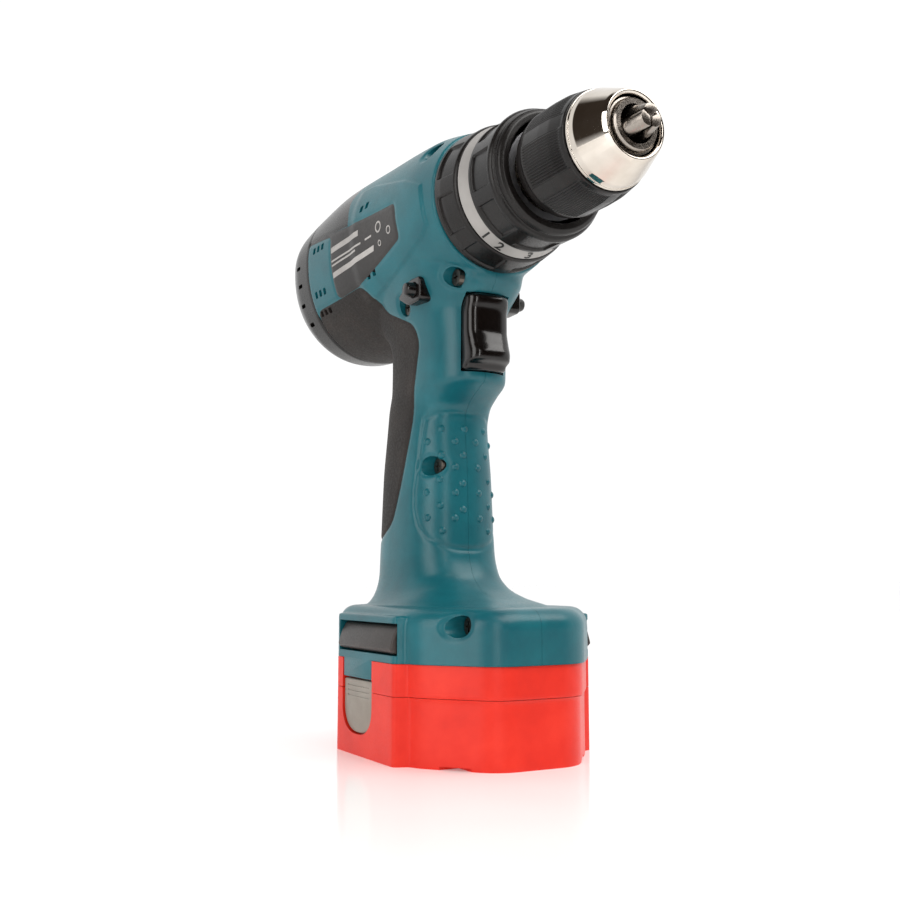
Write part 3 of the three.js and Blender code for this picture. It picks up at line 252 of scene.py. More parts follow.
@dataclass(frozen=True)
class Profile:
    """A smooth curve through knots that never overshoots them, flat beyond both ends."""

    knots: tuple[Point2, ...]

    def __call__(self, at: np.ndarray | float) -> np.ndarray:
        """Returns the curve's value at each place."""
        x, y = np.array(self.knots, float).T
        rise = np.diff(y) / np.diff(x)
        slope = np.r_[rise[0], np.zeros(len(x) - 2), rise[-1]]
        for i in range(1, len(x) - 1):
            if rise[i - 1] * rise[i] > 0:
                slope[i] = 2 * rise[i - 1] * rise[i] / (rise[i - 1] + rise[i])
        t = np.clip(np.asarray(at, float), x[0], x[-1])
        i = np.clip(np.searchsorted(x, t, side="right") - 1, 0, len(x) - 2)
        h = x[i + 1] - x[i]
        s = (t - x[i]) / h
        return (
            (1 + 2 * s) * (1 - s) ** 2 * y[i] + s * (1 - s) ** 2 * h * slope[i]
            + s**2 * (3 - 2 * s) * y[i + 1] + s**2 * (s - 1) * h * slope[i + 1]
        )


def smooth_step(value: np.ndarray, low: float, high: float) -> np.ndarray:
    """Rises from 0 at low to 1 at high without corners."""
    t = np.clip((value - low) / (high - low), 0, 1)
    return t * t * (3 - 2 * t)


def circle(count: int) -> np.ndarray:
    """Returns evenly spaced angles, once round."""
    return np.linspace(0, 2 * math.pi, count, endpoint=False)


def between(side: int, near: float, far: float) -> Point2:
    """Returns the limits of a band that lies near to far from the middle, on one side."""
    low, high = sorted((side * near, side * far))
    return (low, high)


def rounded(outline: Outline, radius: float, steps: int = 6) -> list[Point2]:
    """Returns a closed outline with every corner rounded by up to radius."""
    points = [np.array(p, float) for p in outline]
    made: list[Point2] = []
    for i, corner in enumerate(points):
        before, after = points[i - 1], points[(i + 1) % len(points)]
        a, b = before - corner, after - corner
        reach = min(radius, 0.48 * float(np.linalg.norm(a)), 0.48 * float(np.linalg.norm(b)))
        start = corner + a / np.linalg.norm(a) * reach
        end = corner + b / np.linalg.norm(b) * reach
        for t in np.linspace(0, 1, steps):
            p = (1 - t) ** 2 * start + 2 * t * (1 - t) * corner + t**2 * end
            made.append((float(p[0]), float(p[1])))
    return made


def dense(outline: Outline, step: float) -> np.ndarray:
    """Returns a closed outline with points no further apart than step."""
    points = np.array(outline, float)
    made: list[np.ndarray] = []
    for a, b in zip(points, np.roll(points, -1, axis=0)):
        count = max(1, math.ceil(float(np.linalg.norm(b - a)) / step))
        made += [a + (b - a) * k / count for k in range(count)]
    return np.array(made)


def outline_distance(points: np.ndarray, outline: Outline) -> np.ndarray:
    """Returns each 2-D point's distance to a closed outline, negative inside it."""
    corners = np.array(outline, float)
    best = np.full(len(points), 1e9)
    inside = np.zeros(len(points), bool)
    for a, b in zip(corners, np.roll(corners, -1, axis=0)):
        edge = b - a
        t = np.clip(((points - a) @ edge) / (edge @ edge), 0, 1)
        best = np.minimum(best, np.linalg.norm(points - a - t[:, None] * edge, axis=1))
        crosses = (a[1] > points[:, 1]) != (b[1] > points[:, 1])
        height = np.where(abs(edge[1]) > 1e-9, edge[1], 1e-9)
        inside ^= crosses & (points[:, 0] < a[0] + edge[0] * (points[:, 1] - a[1]) / height)
    return np.where(inside, -best, best)


def linked(name: str, data: bpy.types.ID) -> bpy.types.Object:
    """Puts data into the scene as a new object."""
    made = bpy.data.objects.new(name, data)
    bpy.context.scene.collection.objects.link(made)
    return made


def mesh_object(name: str, points: np.ndarray, faces: Sequence[Sequence[int]]) -> bpy.types.Object:
    """Makes a closed mesh from millimetre points, merging doubles and turning faces outwards."""
    data = bpy.data.meshes.new(name)
    data.from_pydata((np.asarray(points, float) * MM).tolist(), [], [list(f) for f in faces])
    work = bmesh.new()
    work.from_mesh(data)
    bmesh.ops.remove_doubles(work, verts=work.verts, dist=2e-6)
    bmesh.ops.recalc_face_normals(work, faces=work.faces)
    work.to_mesh(data)
    work.free()
    return linked(name, data)


def grid_faces(rows: int, around: int, wrap_rows: bool = False) -> list[tuple[int, int, int, int]]:
    """Returns the quads of a grid that closes round its second direction."""
    last = rows if wrap_rows else rows - 1
    i, j = np.meshgrid(np.arange(last), np.arange(around), indexing="ij")
    a, b = i * around, ((i + 1) % rows) * around
    k = (j + 1) % around
    quads = np.stack([a + j, a + k, b + k, b + j], axis=-1).reshape(-1, 4)
    return [tuple(q) for q in quads.tolist()]


def loft(name: str, rings: np.ndarray) -> bpy.types.Object:
    """Makes a solid through a stack of rings, shaped (rings, points, 3), closed at both ends."""
    count, around = rings.shape[:2]
    points = np.vstack([rings.reshape(-1, 3), rings[0].mean(0), rings[-1].mean(0)])
    faces: list[tuple[int, ...]] = list(grid_faces(count, around))
    first, last, base = count * around, count * around + 1, (count - 1) * around
    faces += [((j + 1) % around, j, first) for j in range(around)]
    faces += [(base + j, base + (j + 1) % around, last) for j in range(around)]
    return mesh_object(name, points, faces)


def prism(name: str, outline: Outline, low: float, high: float, axis: str) -> bpy.types.Object:
    """Makes a straight prism along an axis; the outline uses the two other axes in XYZ order."""
    flat = np.array(outline, float)
    order = {"X": (2, 0, 1), "Y": (0, 2, 1), "Z": (0, 1, 2)}[axis]
    rings = []
    for level in (low, high):
        full = np.column_stack([flat, np.full(len(flat), level)])
        rings.append(full[:, order])
    count = len(flat)
    faces: list[tuple[int, ...]] = list(grid_faces(2, count))
    faces += [tuple(range(count)), tuple(range(count, 2 * count))]
    return mesh_object(name, np.vstack(rings), faces)


def block(name: str, x: Point2, y: Point2, z: Point2) -> bpy.types.Object:
    """Makes a box between the given limits."""
    plan = [(x[0], y[0]), (x[1], y[0]), (x[1], y[1]), (x[0], y[1])]
    return prism(name, plan, z[0], z[1], "Z")


def rod(name: str, start: Point3, end: Point3, r0: float, r1: float | None = None,
        sides: int = 64) -> bpy.types.Object:
    """Makes a round bar or cone between two points."""
    a, b = np.array(start, float), np.array(end, float)
    along = (b - a) / np.linalg.norm(b - a)
    side = np.cross(along, (0, 0, 1) if abs(along[2]) < 0.9 else (1, 0, 0))
    side /= np.linalg.norm(side)
    other = np.cross(along, side)
    t = circle(sides)[:, None]
    ring = np.cos(t) * side + np.sin(t) * other
    return loft(name, np.stack([a + ring * r0, b + ring * (r0 if r1 is None else r1)]))


Relief = Callable[[np.ndarray, np.ndarray], np.ndarray]


def lathe(name: str, outline: Outline, around: int = 256, step: float = 0.6,
          relief: Relief | None = None, relief_from: float = 0.0) -> bpy.types.Object:
    """Turns a closed outline of (x, r) about the spindle.

    Args:
        name: Name of the new object.
        outline: The section, with radii of 0 or more.
        around: Number of points round the spindle.
        step: Largest gap between points along the outline.
        relief: Gives the change of radius at each (x, angle).
        relief_from: Radius below which the relief is left out.

    Returns:
        The closed turned object.
    """
    section = dense(outline, step)
    angle = circle(around)
    x = np.repeat(section[:, :1], around, axis=1)
    r = np.repeat(section[:, 1:], around, axis=1)
    if relief:
        r = np.where(r > relief_from, r + relief(x, np.broadcast_to(angle, x.shape)), r)
    points = np.stack([x, r * np.cos(angle), AXIS_Z + r * np.sin(angle)], axis=-1).reshape(-1, 3)
    return mesh_object(name, points, grid_faces(len(section), around, wrap_rows=True))


class Carve(Enum):
    """What a solid tool does to a solid target."""

    CUT = "DIFFERENCE"
    JOIN = "UNION"
    KEEP = "INTERSECT"


def worked_out(source: bpy.types.Object) -> bpy.types.Mesh:
    """Returns a new mesh of an object with its modifiers, or its text, worked out."""
    bpy.context.view_layer.update()
    shown = source.evaluated_get(bpy.context.evaluated_depsgraph_get())
    return bpy.data.meshes.new_from_object(shown)


def bake(target: bpy.types.Object) -> bpy.types.Object:
    """Writes a piece's modifiers into its mesh."""
    fresh = worked_out(target)
    stale = target.data
    target.modifiers.clear()
    target.data = fresh
    bpy.data.meshes.remove(stale)
    return target


def carve(target: bpy.types.Object, how: Carve, *tools: bpy.types.Object,
          keep: bool = False) -> bpy.types.Object:
    """Cuts, joins or intersects a solid with others.

    Args:
        target: The solid that changes.
        how: The operation, the same for every tool.
        tools: Closed solids.
        keep: Leaves the tools in the scene.

    Returns:
        The target.
    """
    for tool in tools:
        step = target.modifiers.new("carve", "BOOLEAN")
        step.operation, step.solver, step.object = how.value, "MANIFOLD", tool
    bake(target)
    if not keep:
        for tool in tools:
            discard(tool)
    if not target.data.polygons:
        raise ValueError(f"nothing is left of {target.name}")
    return target


def discard(piece: bpy.types.Object) -> None:
    """Deletes a scratch object and its mesh."""
    data = piece.data
    bpy.data.objects.remove(piece)
    bpy.data.meshes.remove(data)


def copy_of(piece: bpy.types.Object, name: str) -> bpy.types.Object:
    """Returns a second object with its own copy of the mesh."""
    return linked(name, piece.data.copy())


def moulded(target: bpy.types.Object, voxel_mm: float, passes: int) -> bpy.types.Object:
    """Fuses a solid into one even skin and softens its edges, as a mould would."""
    skin = target.modifiers.new("skin", "REMESH")
    skin.mode, skin.voxel_size = "VOXEL", voxel_mm * MM
    soft = target.modifiers.new("soft", "SMOOTH")
    soft.factor, soft.iterations = 0.5, passes
    return bake(target)


def bevelled(target: bpy.types.Object, width_mm: float, segments: int = 3) -> bpy.types.Object:
    """Rounds the sharp edges of a prism."""
    edge = target.modifiers.new("edge", "BEVEL")
    edge.width, edge.segments, edge.limit_method = width_mm * MM, segments, "ANGLE"
    edge.angle_limit = math.radians(32)
    return bake(target)


def displaced(target: bpy.types.Object, amount: Callable[[np.ndarray], np.ndarray]) -> None:
    """Moves every vertex along its normal by amount(points in mm)."""
    data = target.data
    co = np.empty(len(data.vertices) * 3)
    normal = np.empty(len(data.vertices) * 3)
    data.vertices.foreach_get("co", co)
    data.vertices.foreach_get("normal", normal)
    co, normal = co.reshape(-1, 3), normal.reshape(-1, 3)
    co = co + normal * (amount(co / MM) * MM)[:, None]
    data.vertices.foreach_set("co", co.ravel())
    data.update()


def dress(piece: bpy.types.Object, finish: Finish, body: str, *nodes: str, sharp: float = 35.0) -> None:
    """Finishes a piece: smooth faces, material, the body it rides on and the nodes it stands for.

    Args:
        piece: The object to finish.
        finish: Its material.
        body: CAD body that carries it.
        nodes: CAD nodes it replaces, if any.
        sharp: Edges steeper than this many degrees stay crisp.
    """
    data = piece.data
    data.materials.clear()
    data.materials.append(finish.material())
    data.shade_smooth()
    data.set_sharp_from_angle(angle=math.radians(sharp))
    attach(piece, body)
    if nodes:
        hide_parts(*nodes)


# ---------------------------------------------------------------- shared shapes


def super_ring(count: int, power: float) -> tuple[np.ndarray, np.ndarray]:
    """Returns the two unit coordinates of a superellipse."""
    t = circle(count)
    c, s = np.cos(t), np.sin(t)
    return np.sign(c) * abs(c) ** (2 / power), np.sign(s) * abs(s) ** (2 / power)


@dataclass(frozen=True)
class Barrel:
    """The motor end, a lofted body along the spindle."""

    width: Profile = Profile(((-119, 18), (-116, 28), (-109, 35), (-98, 37.5), (-60, 36.5), (-20, 33),
                              (10, 31.6), (27.7, 29.5)))
    up: Profile = Profile(((-119, 9), (-116, 17), (-109, 23.5), (-98, 28.5), (-84, 32), (-60, 35.5),
                           (-20, 35), (10, 33.2), (27.7, 29.5)))
    down: Profile = Profile(((-119, 26), (-116, 35.5), (-109, 41.5), (-98, 46), (-75, 47), (-40, 42.5),
                             (-10, 36), (10, 32.5), (27.7, 29.5)))
    power: float = 2.15

    def solid(self, name: str, low: float, high: float, inset: float = 0.0) -> bpy.types.Object:
        """Lofts the barrel between two stations, shrunk all round by inset."""
        side, rise = super_ring(160, self.power)
        rings = []
        for x in np.linspace(low, high, 180):
            tall = np.where(rise > 0, self.up(x), self.down(x)) - inset
            y, z = side * (self.width(x) - inset), AXIS_Z + rise * tall
            rings.append(np.column_stack([np.full(len(y), x), y, z]))
        return loft(name, np.array(rings))


@dataclass(frozen=True)
class Handle:
    """The upright grip, lofted along Z."""

    front: Profile = Profile(((52, 52), (58, 40), (61, 25), (65, 14), (71, 7.5), (80, 4.6), (112, 3.4),
                              (134, 1.5), (141, 4), (146, 11), (150, 18), (152, 18.5), (179, 18.5),
                              (187, 24.5), (191, 27.4), (200, 27.4)))
    back: Profile = Profile(((52, -56), (58, -54.5), (62, -53), (70, -52), (112, -51), (140, -47.5),
                             (165, -46), (173, -48), (179, -54), (200, -60)))
    width: Profile = Profile(((52, 40), (58, 31), (61, 27), (65, 24), (71, 22.2), (80, 21.6),
                              (112, 20.2), (140, 19), (165, 19.2), (178, 20.5), (190, 24), (200, 27)))
    power: float = 2.5

    def solid(self, name: str, low: float, high: float, inset: float = 0.0) -> bpy.types.Object:
        """Lofts the handle between two heights, shrunk all round by inset."""
        along, side = super_ring(144, self.power)
        rings = []
        for z in np.linspace(low, high, 170):
            middle = (self.front(z) + self.back(z)) / 2
            depth = (self.front(z) - self.back(z)) / 2 - inset
            x, y = middle + along * depth, side * (self.width(z) - inset)
            rings.append(np.column_stack([x, y, np.full(len(x), z)]))
        return loft(name, np.array(rings))


def pod_plan(inset: float) -> np.ndarray:
    """Plan of the foot and the battery, drawn in by inset."""
    half = [(58 - inset, -(18.4 - 0.6 * inset)), (30 - 0.3 * inset, -(41.5 - inset)),
            (-36 + 0.3 * inset, -(41.5 - inset)), (-(58 - inset), -(22 - 0.3 * inset))]
    whole = half + [(x, -y) for x, y in reversed(half)]
    return np.array(rounded(whole, 9 - 0.5 * inset, 14))


def pod(name: str, levels: Sequence[Point2]) -> bpy.types.Object:
    """Lofts the plan through (height, inset) levels."""
    rings = [np.column_stack([pod_plan(inset), np.full(112, z)]) for z, inset in levels]
    return loft(name, np.array(rings))


def flank_pads(low: float, high: float) -> list[bpy.types.Object]:
    """The raised pads on both flanks that carry the release buttons."""
    made = []
    for side in (RIGHT, LEFT):
        plan = [(29, side * 35.5), (26, side * 44.7), (-27, side * 44.7), (-30, side * 35.5)]
        made.append(prism(f"pad_{side}", rounded(plan, 1.5, 5), low, high, "Z"))
    return made


# ---------------------------------------------------------------- housing


@dataclass
class Housing:
    """The two teal halves with the rear cap, rubber grip and flank labels."""

    wall: float = 2.6
    voxel: float = 0.7
    dome_r: float = 1.95
    dome_sunk: float = 1.15  # how deep a grip dot's centre lies under the skin
    # The thin tail of this outline, from x -60.5 back to the rear cap, is a 1.4 mm strip of the dark foil
    # laid along the groove under the hood: painted groove shade.
    label: tuple[Point2, ...] = tuple(rounded((
        (-60.5, 197.2), (-38, 199.2), (1, 209.6), (-1, 225), (-44.3, 226.6), (-60.5, 227.6),
        (-85.8, 229.8), (-85.8, 228.4), (-60.5, 226.2)), 3.0))
    rubber: tuple[Point2, ...] = tuple(rounded((
        (-85.9, 196.5), (-62, 197), (-38, 199), (-31, 186), (-8, 176), (-4.5, 168), (-10, 146), (-14, 127),
        (-18, 110), (-25, 92), (-38, 86), (-75, 84), (-75, 150), (-85.9, 160)), 6.0))
    hood: tuple[Point2, ...] = ((-86.4, 229.7), (-60.5, 227.5), (-44.3, 226.9), (-44.3, 229.9),
                                (-48.3, 240.4), (-48.1, 243), (-48.1, 290), (-86.4, 290))
    ridge: tuple[Point2, ...] = ((-44.3, 229.9), (-48.3, 240.4), (-48.1, 243), (-27.6, 241.3),
                                 (5.4, 232.8), (18.9, 226.7), (20.4, 217.9), (21.1, 210), (16, 206.4),
                                 (-11.2, 198.1), (-43.5, 190))
    panel: tuple[Point2, ...] = ((-5.8, 135.1), (-6.8, 128.4), (-7.4, 118.3), (-8.9, 105.8),
                                 (-8.8, 98.2), (-6.2, 90.6), (-2.2, 85.6), (1.7, 83.1), (4.8, 80.7),
                                 (14, 80.4), (14, 138.9), (2.6, 137.8), (-1.3, 137.3))
    # screw wells: x, z, distance of the seat from the middle
    wells: tuple[Point3, ...] = ((19.5, 190.5, 12), (-13, 184.5, 17), (15, 243.5, 16), (-3, 115.6, 8),
                                 (45, 51.5, 21))
    dimples: tuple[Point3, ...] = (
        (-0.8, 10.1, 131.1), (1.7, 0.3, 131.3), (1.5, 4.9, 125.9), (-4.7, 14.6, 125.7),
        (-0.3, 10.4, 120.2), (2.2, 1.5, 120.1), (2.1, 5.2, 115.1), (-0.1, 11.4, 109.7),
        (2.8, 2.1, 108.3), (-3.8, 15.4, 104.5), (2.7, 5.5, 104.4), (0.6, 11.3, 99.0),
        (3.4, 2.2, 97.4), (-3.0, 15.4, 93.9), (3.3, 5.9, 93.8), (1.5, 10.8, 88.6))

    def relief(self, at: np.ndarray) -> np.ndarray:
        """How far the moulded detail lifts or sinks the skin at each point."""
        flat = at[:, [0, 2]]
        flank = smooth_step(abs(at[:, 1]), 4, 9)
        raised = 1 - smooth_step(outline_distance(flat, self.ridge), -0.8, 0.8)
        lift = 0.7 * flank * smooth_step(at[:, 0], -43, -36) * raised
        for outline, depth in ((self.label, 0.3), (self.rubber, 0.45)):
            away = outline_distance(flat, outline)
            lift -= depth * flank * np.exp(-((away / 0.9) ** 2))
        edge = outline_distance(flat, self.panel)
        lift -= 0.55 * np.exp(-((edge / 0.9) ** 2)) * (at[:, 0] < 6.5)
        lift -= 0.3 * np.exp(-(((at[:, 0] - SEAM_X) / 0.8) ** 2)) * (at[:, 2] > 170)
        for x, z, _ in self.wells:
            away = np.hypot(at[:, 0] - x, at[:, 2] - z)
            lift -= 0.9 * (1 - smooth_step(away, 3.6, 6.0)) * (at[:, 1] < 0)
        return lift

    def skin(self) -> bpy.types.Object:
        """One closed moulded body: barrel, handle, foot and pads fused together."""
        body = Barrel().solid("housing_skin", -119, 27.7)
        turn = np.linspace(0, math.pi / 2, 9)
        levels = [(30.0, 0.0), (51.0, 0.0)] + [
            (51 + 7 * math.sin(t), 7 * (1 - math.cos(t))) for t in turn[1:]]
        foot = pod("foot", levels)
        carve(body, Carve.JOIN, Handle().solid("handle", 50, 203), foot, *flank_pads(30, 55))
        moulded(body, self.voxel, 9)
        displaced(body, self.relief)
        return body

    def openings(self) -> list[bpy.types.Object]:
        """Everything cut out of the teal halves alone."""
        tools = [
            block("trigger_room", (3.8, 60), (-10.1, 10.1), (152.8, 185.0)),
            rod("lever_hole", (LEVER_X, -60, LEVER_Z), (LEVER_X, 60, LEVER_Z), 3.6),
            block("selector_room", (-15.4, 11.4), (-7.9, 7.9), (250.7, 270)),
            rod("tower_room", (TOWER_X, 0, 20), (TOWER_X, 0, 97), 14.2, sides=96),
        ]
        for x, z, seat in self.wells:
            tools.append(rod("well", (x, -60, z), (x, -seat, z), 4.1))
            tools.append(rod("shank_hole", (x, -seat - 1, z), (x, 8, z), 2.1))
        for side in (RIGHT, LEFT):
            tools.append(block("latch_room", (-24.3, 26.3), between(side, 38.4, 60),
                               (40.3, 52.3)))
            for x, z, count, lean in ((-29.6, 231.6, 2, 0.1), (-27.9, 201.4, 2, 0.1), (-73.7, 224, 3, 0.0),
                                      (-75.5, 203.2, 3, 0.0)):
                tools += self.slits(x, z, count, lean, side)
        return tools

    def slits(self, x: float, z: float, count: int, lean: float, side: int) -> list[bpy.types.Object]:
        """A row of short air slits through one flank."""
        made = []
        for k in range(count):
            at = x + (k - (count - 1) / 2) * 4.6
            up = z + (at - x) * lean
            plan = [(at - 1.5, up - 1.5), (at + 1.1, up - 1.5), (at + 1.5, up + 1.5), (at - 1.1, up + 1.5)]
            made.append(prism("slit", rounded(plan, 0.5, 4), *between(side, 20.0, 60.0), "Y"))
        return made

    def domes(self) -> list[bpy.types.Object]:
        """The raised grip dots on the handle panel, both sides."""
        grip, made = Handle(), []
        turn = circle(24)
        for x, y, z in self.dimples:
            middle, depth = float(grip.front(z) + grip.back(z)) / 2, float(grip.front(z) - grip.back(z)) / 2
            width, power = float(grip.width(z)), grip.power
            slope = np.arctan2(y, max(x - middle, 1e-3) * width / depth)
            c, s = math.cos(slope), math.sin(slope)
            reach = (abs(c) ** power + abs(s) ** power) ** (-1 / power)
            px, py = middle + depth * c * reach, width * s * reach
            nx = abs((px - middle) / depth) ** (power - 1) / depth
            ny = abs(py / width) ** (power - 1) / width
            for side in (RIGHT, LEFT):
                if y < 3 and side == LEFT:
                    continue
                out = np.array([nx, side * ny, 0.0]) / math.hypot(nx, ny)
                core = np.array([px, side * py, z]) - out * self.dome_sunk
                rings = [core + np.column_stack([
                    self.dome_r * math.sin(a) * np.cos(turn), self.dome_r * math.sin(a) * np.sin(turn),
                    np.full(24, self.dome_r * math.cos(a))]) for a in np.linspace(0.03, math.pi - 0.03, 13)]
                made.append(loft("dome", np.array(rings)))
        return made

    def build(self) -> None:
        """Makes, splits and dresses every housing piece."""
        skin = self.skin()
        carve(skin, Carve.KEEP, block("above_seat", (REAR_X, ALL[1]), ALL, (FOOT_LOW_Z, TOP_Z)))
        printed = copy_of(skin, "print_skin")
        displaced(printed, lambda at: np.full(len(at), 0.07))
        carve(skin, Carve.CUT, Barrel().solid("motor_room", -113.5, 27.9, self.wall),
              Handle().solid("switch_room", 99, 205, self.wall))
        cups = copy_of(printed, "screw_bosses")
        bosses = [rod("boss", (x, -seat - 12, z), (x, seat + 4, z), 5.9) for x, z, seat in self.wells]
        carve(bosses[0], Carve.JOIN, *bosses[1:])
        displaced(cups, lambda at: np.full(len(at), -0.6))
        carve(cups, Carve.KEEP, bosses[0])
        carve(skin, Carve.JOIN, cups)
        rear = copy_of(skin, "rear_cap_shell")
        carve(rear, Carve.KEEP, block("rear_side", (ALL[0], SEAM_X - 0.15), ALL, ALL))
        slots = [prism("cap_slit", rounded([(x - 2.4, z - 0.9), (x + 2.4, z - 0.9), (x + 2.4, z + 0.9),
                                            (x - 2.4, z + 0.9)], 0.7, 4), -60, 60, "Y")
                 for x, z in ((-97.7, 201.7), (-96.1, 192.6), (-96.5, 211), (-97.7, 220))]
        carve(rear, Carve.CUT, *slots)
        dress(rear, NYLON_CAP, "housing", "rear_cover")
        carve(skin, Carve.KEEP, block("front_side", (SEAM_X + 0.15, ALL[1]), ALL, ALL))
        for side, word in SIDES:
            near = between(side, 0.06, ALL[1])
            flank = between(side, 10.0, ALL[1])
            grip = copy_of(skin, f"rubber_grip_{word}")
            carve(grip, Carve.KEEP, prism("grip_side", self.rubber, *near, "Y"))
            carve(grip, Carve.CUT, *(prism("grip_slit", rounded(
                [(x - 1.2, 193.4), (x + 1.6, 193.4), (x + 1.6, 195.9), (x - 1.2, 195.9)], 0.5, 4),
                *between(side, 20.0, 60.0), "Y") for x in (-81, -76.4, -71.8)))
            dress(grip, RUBBER, "housing", f"grip_{word}")
            plate = copy_of(skin, f"flank_label_{word}")
            carve(plate, Carve.KEEP, prism("label_side", self.label, *flank, "Y"))
            dress(plate, LABEL, "housing", f"nameplate_{word}")
            self.print_label(printed, side, word)
        discard(printed)
        hood = copy_of(skin, "motor_hood")
        carve(hood, Carve.KEEP, prism("hood_side", self.hood, *ALL, "Y"))
        dress(hood, NYLON_CAP, "housing")
        carve(skin, Carve.CUT, prism("hood_room", self.hood, *ALL, "Y"),
              prism("grip_room", self.rubber, *ALL, "Y"),
              prism("label_room_r", self.label, ALL[0], -10, "Y"),
              prism("label_room_l", self.label, 10, ALL[1], "Y"), *self.openings())
        carve(skin, Carve.JOIN, *self.domes())
        for side, word in SIDES:
            half = copy_of(skin, f"housing_shell_{word}")
            carve(half, Carve.KEEP, block("half", ALL, between(side, 0.05, ALL[1]),
                                          ALL))
            tongue = bevelled(block("tongue", (-20.2, 6.2), between(side, 40.9, 44.6),
                                    (29.9, 40.0)), 0.5)
            carve(half, Carve.JOIN, tongue)
            dress(half, NYLON_TEAL, "housing", f"housing_{word}")
        discard(skin)
        LOG.info("housing: 2 halves, rear cap, 2 grips, 2 labels")

    def print_label(self, printed: bpy.types.Object, side: int, word: str) -> None:
        """Raises the pale ink of one label: plain bars and rings with no lettering."""
        bars = [[(-59.6, 206.4), (-21, 209.6), (-20.2, 212), (-59.3, 208.8)]]
        for k, (low, end, tall) in enumerate(((217.8, -33, 2.6), (213.6, -31, 0.8), (211.6, -36, 0.8))):
            bars.append([(-59.3, low), (end, low + 1.6), (end, low + 1.6 + tall), (-59.3, low + tall)])
        bars.append([(-27, 215.6), (-21.5, 216), (-21.5, 216.8), (-27, 216.4)])
        tools = []
        low, high = between(side, 12.0, 80.0)
        for bar in bars:
            tools.append(prism("bar", bar, low, high, "Y"))
        for x, z, r in ((-15.2, 218.6, 2.5), (-6.5, 215, 1.8), (-15.2, 211.6, 1.3)):
            ring = rod("ring", (x, low, z), (x, high, z), r)
            carve(ring, Carve.CUT, rod("hole", (x, low - 1, z), (x, high + 1, z), r * 0.7))
            tools.append(ring)
        stamp = tools[0]
        carve(stamp, Carve.JOIN, *tools[1:])
        stamp.name = f"label_print_{word}"
        carve(stamp, Carve.KEEP, printed, keep=True)
        carve(stamp, Carve.CUT, Barrel().solid("ink_room", -113.5, 27.9, 1.5))
        dress(stamp, INK, "housing")


# ---------------------------------------------------------------- foot fittings and battery


@dataclass
class Battery:
    """The red pack: lower tray, upper lid with its tower, and the two release buttons."""

    seam: tuple[float, float] = (25.2, 25.4)
    top: float = 37.3

    def u_plan(self, grow: float) -> list[Point2]:
        """Outline of the release button: flat top, deep round bottom."""
        low, high = 8.5 - grow, 29.2 + grow
        turn = np.linspace(math.pi, 2 * math.pi, 28)
        half = 13.5 + grow
        bowl = [(-7 + half * math.copysign(abs(math.cos(t)) ** 0.8, math.cos(t)),
                 low + 12 + 12 * math.copysign(abs(math.sin(t)) ** 0.8, math.sin(t))) for t in turn]
        return bowl + [(-7 + half, high), (-7 - half, high)]

    def build(self) -> None:
        """Makes and dresses the pack."""
        body = pod("pack_body", [(-1.0, 1.9), (0.0, 1.7), (0.9, 1.6), (24.9, 1.6), (25.4, 0.8), (43, 0.8)])
        pads = flank_pads(-1, 43)
        carve(body, Carve.JOIN, *pads)
        moulded(body, 0.65, 4)
        carve(body, Carve.KEEP, block("pack_band", ALL, ALL, (0.0, self.top)))
        room = pod("pack_room", [(3.0, 4.5), (34.0, 4.5)])
        pockets = [prism("button_room", self.u_plan(0.4), *between(side, 38.2, 80.0), "Y")
                   for side in (RIGHT, LEFT)]
        carve(body, Carve.CUT, room, *pockets, block("notch_r", (38.6, 48.5), (-40, -24), (-5, 1.2)),
              block("notch_l", (38.6, 48.5), (24, 40), (-5, 1.2)))
        upper = copy_of(body, "battery_lid")
        carve(upper, Carve.KEEP, block("lid_band", ALL, ALL, (self.seam[1], ALL[1])))
        tower = rod("tower", (TOWER_X, 0, 30), (TOWER_X, 0, 94), 13.4, sides=128)
        carve(upper, Carve.JOIN, bevelled(tower, 1.2, 4))
        notches = [block("tongue_room", (-20.7, 6.7), between(side, 40.5, 80), (26, ALL[1]))
                   for side in (RIGHT, LEFT)]
        carve(upper, Carve.CUT, *notches)
        dress(upper, ABS_RED, "battery", "battery_upper")
        carve(body, Carve.KEEP, block("tray_band", ALL, ALL, (ALL[0], self.seam[0])))
        body.name = "battery_tray"
        dress(body, ABS_RED, "battery", "battery_lower")
        for side, word in SIDES:
            button = prism(f"release_key_{word}", self.u_plan(0.0), *between(side, 41.1, 44.0), "Y")
            ribs = [block("rib_gap", (-17, 3), between(side, 43.75, 50), (z, z + 0.5))
                    for z in (22.5, 24.5, 26.5)]
            carve(bevelled(button, 0.7, 4), Carve.CUT, *ribs)
            dress(button, ACETAL_GREY, f"release_button_{word}", f"release_button_{word}")
            cover = prism(f"latch_wedge_{word}", [(side * y, z) for y, z in (
                (38.9, 40.9), (43.9, 40.9), (46.1, 42.5), (44.4, 48), (42.3, 51.6), (38.9, 51.6))],
                -23.6, 25.6, "X")
            dress(bevelled(cover, 0.9, 4), NYLON_GREY, "housing", f"latch_cover_{word}")
        LOG.info("battery: tray, lid, 2 release keys and 2 latch wedges")


# ---------------------------------------------------------------- rings and chuck


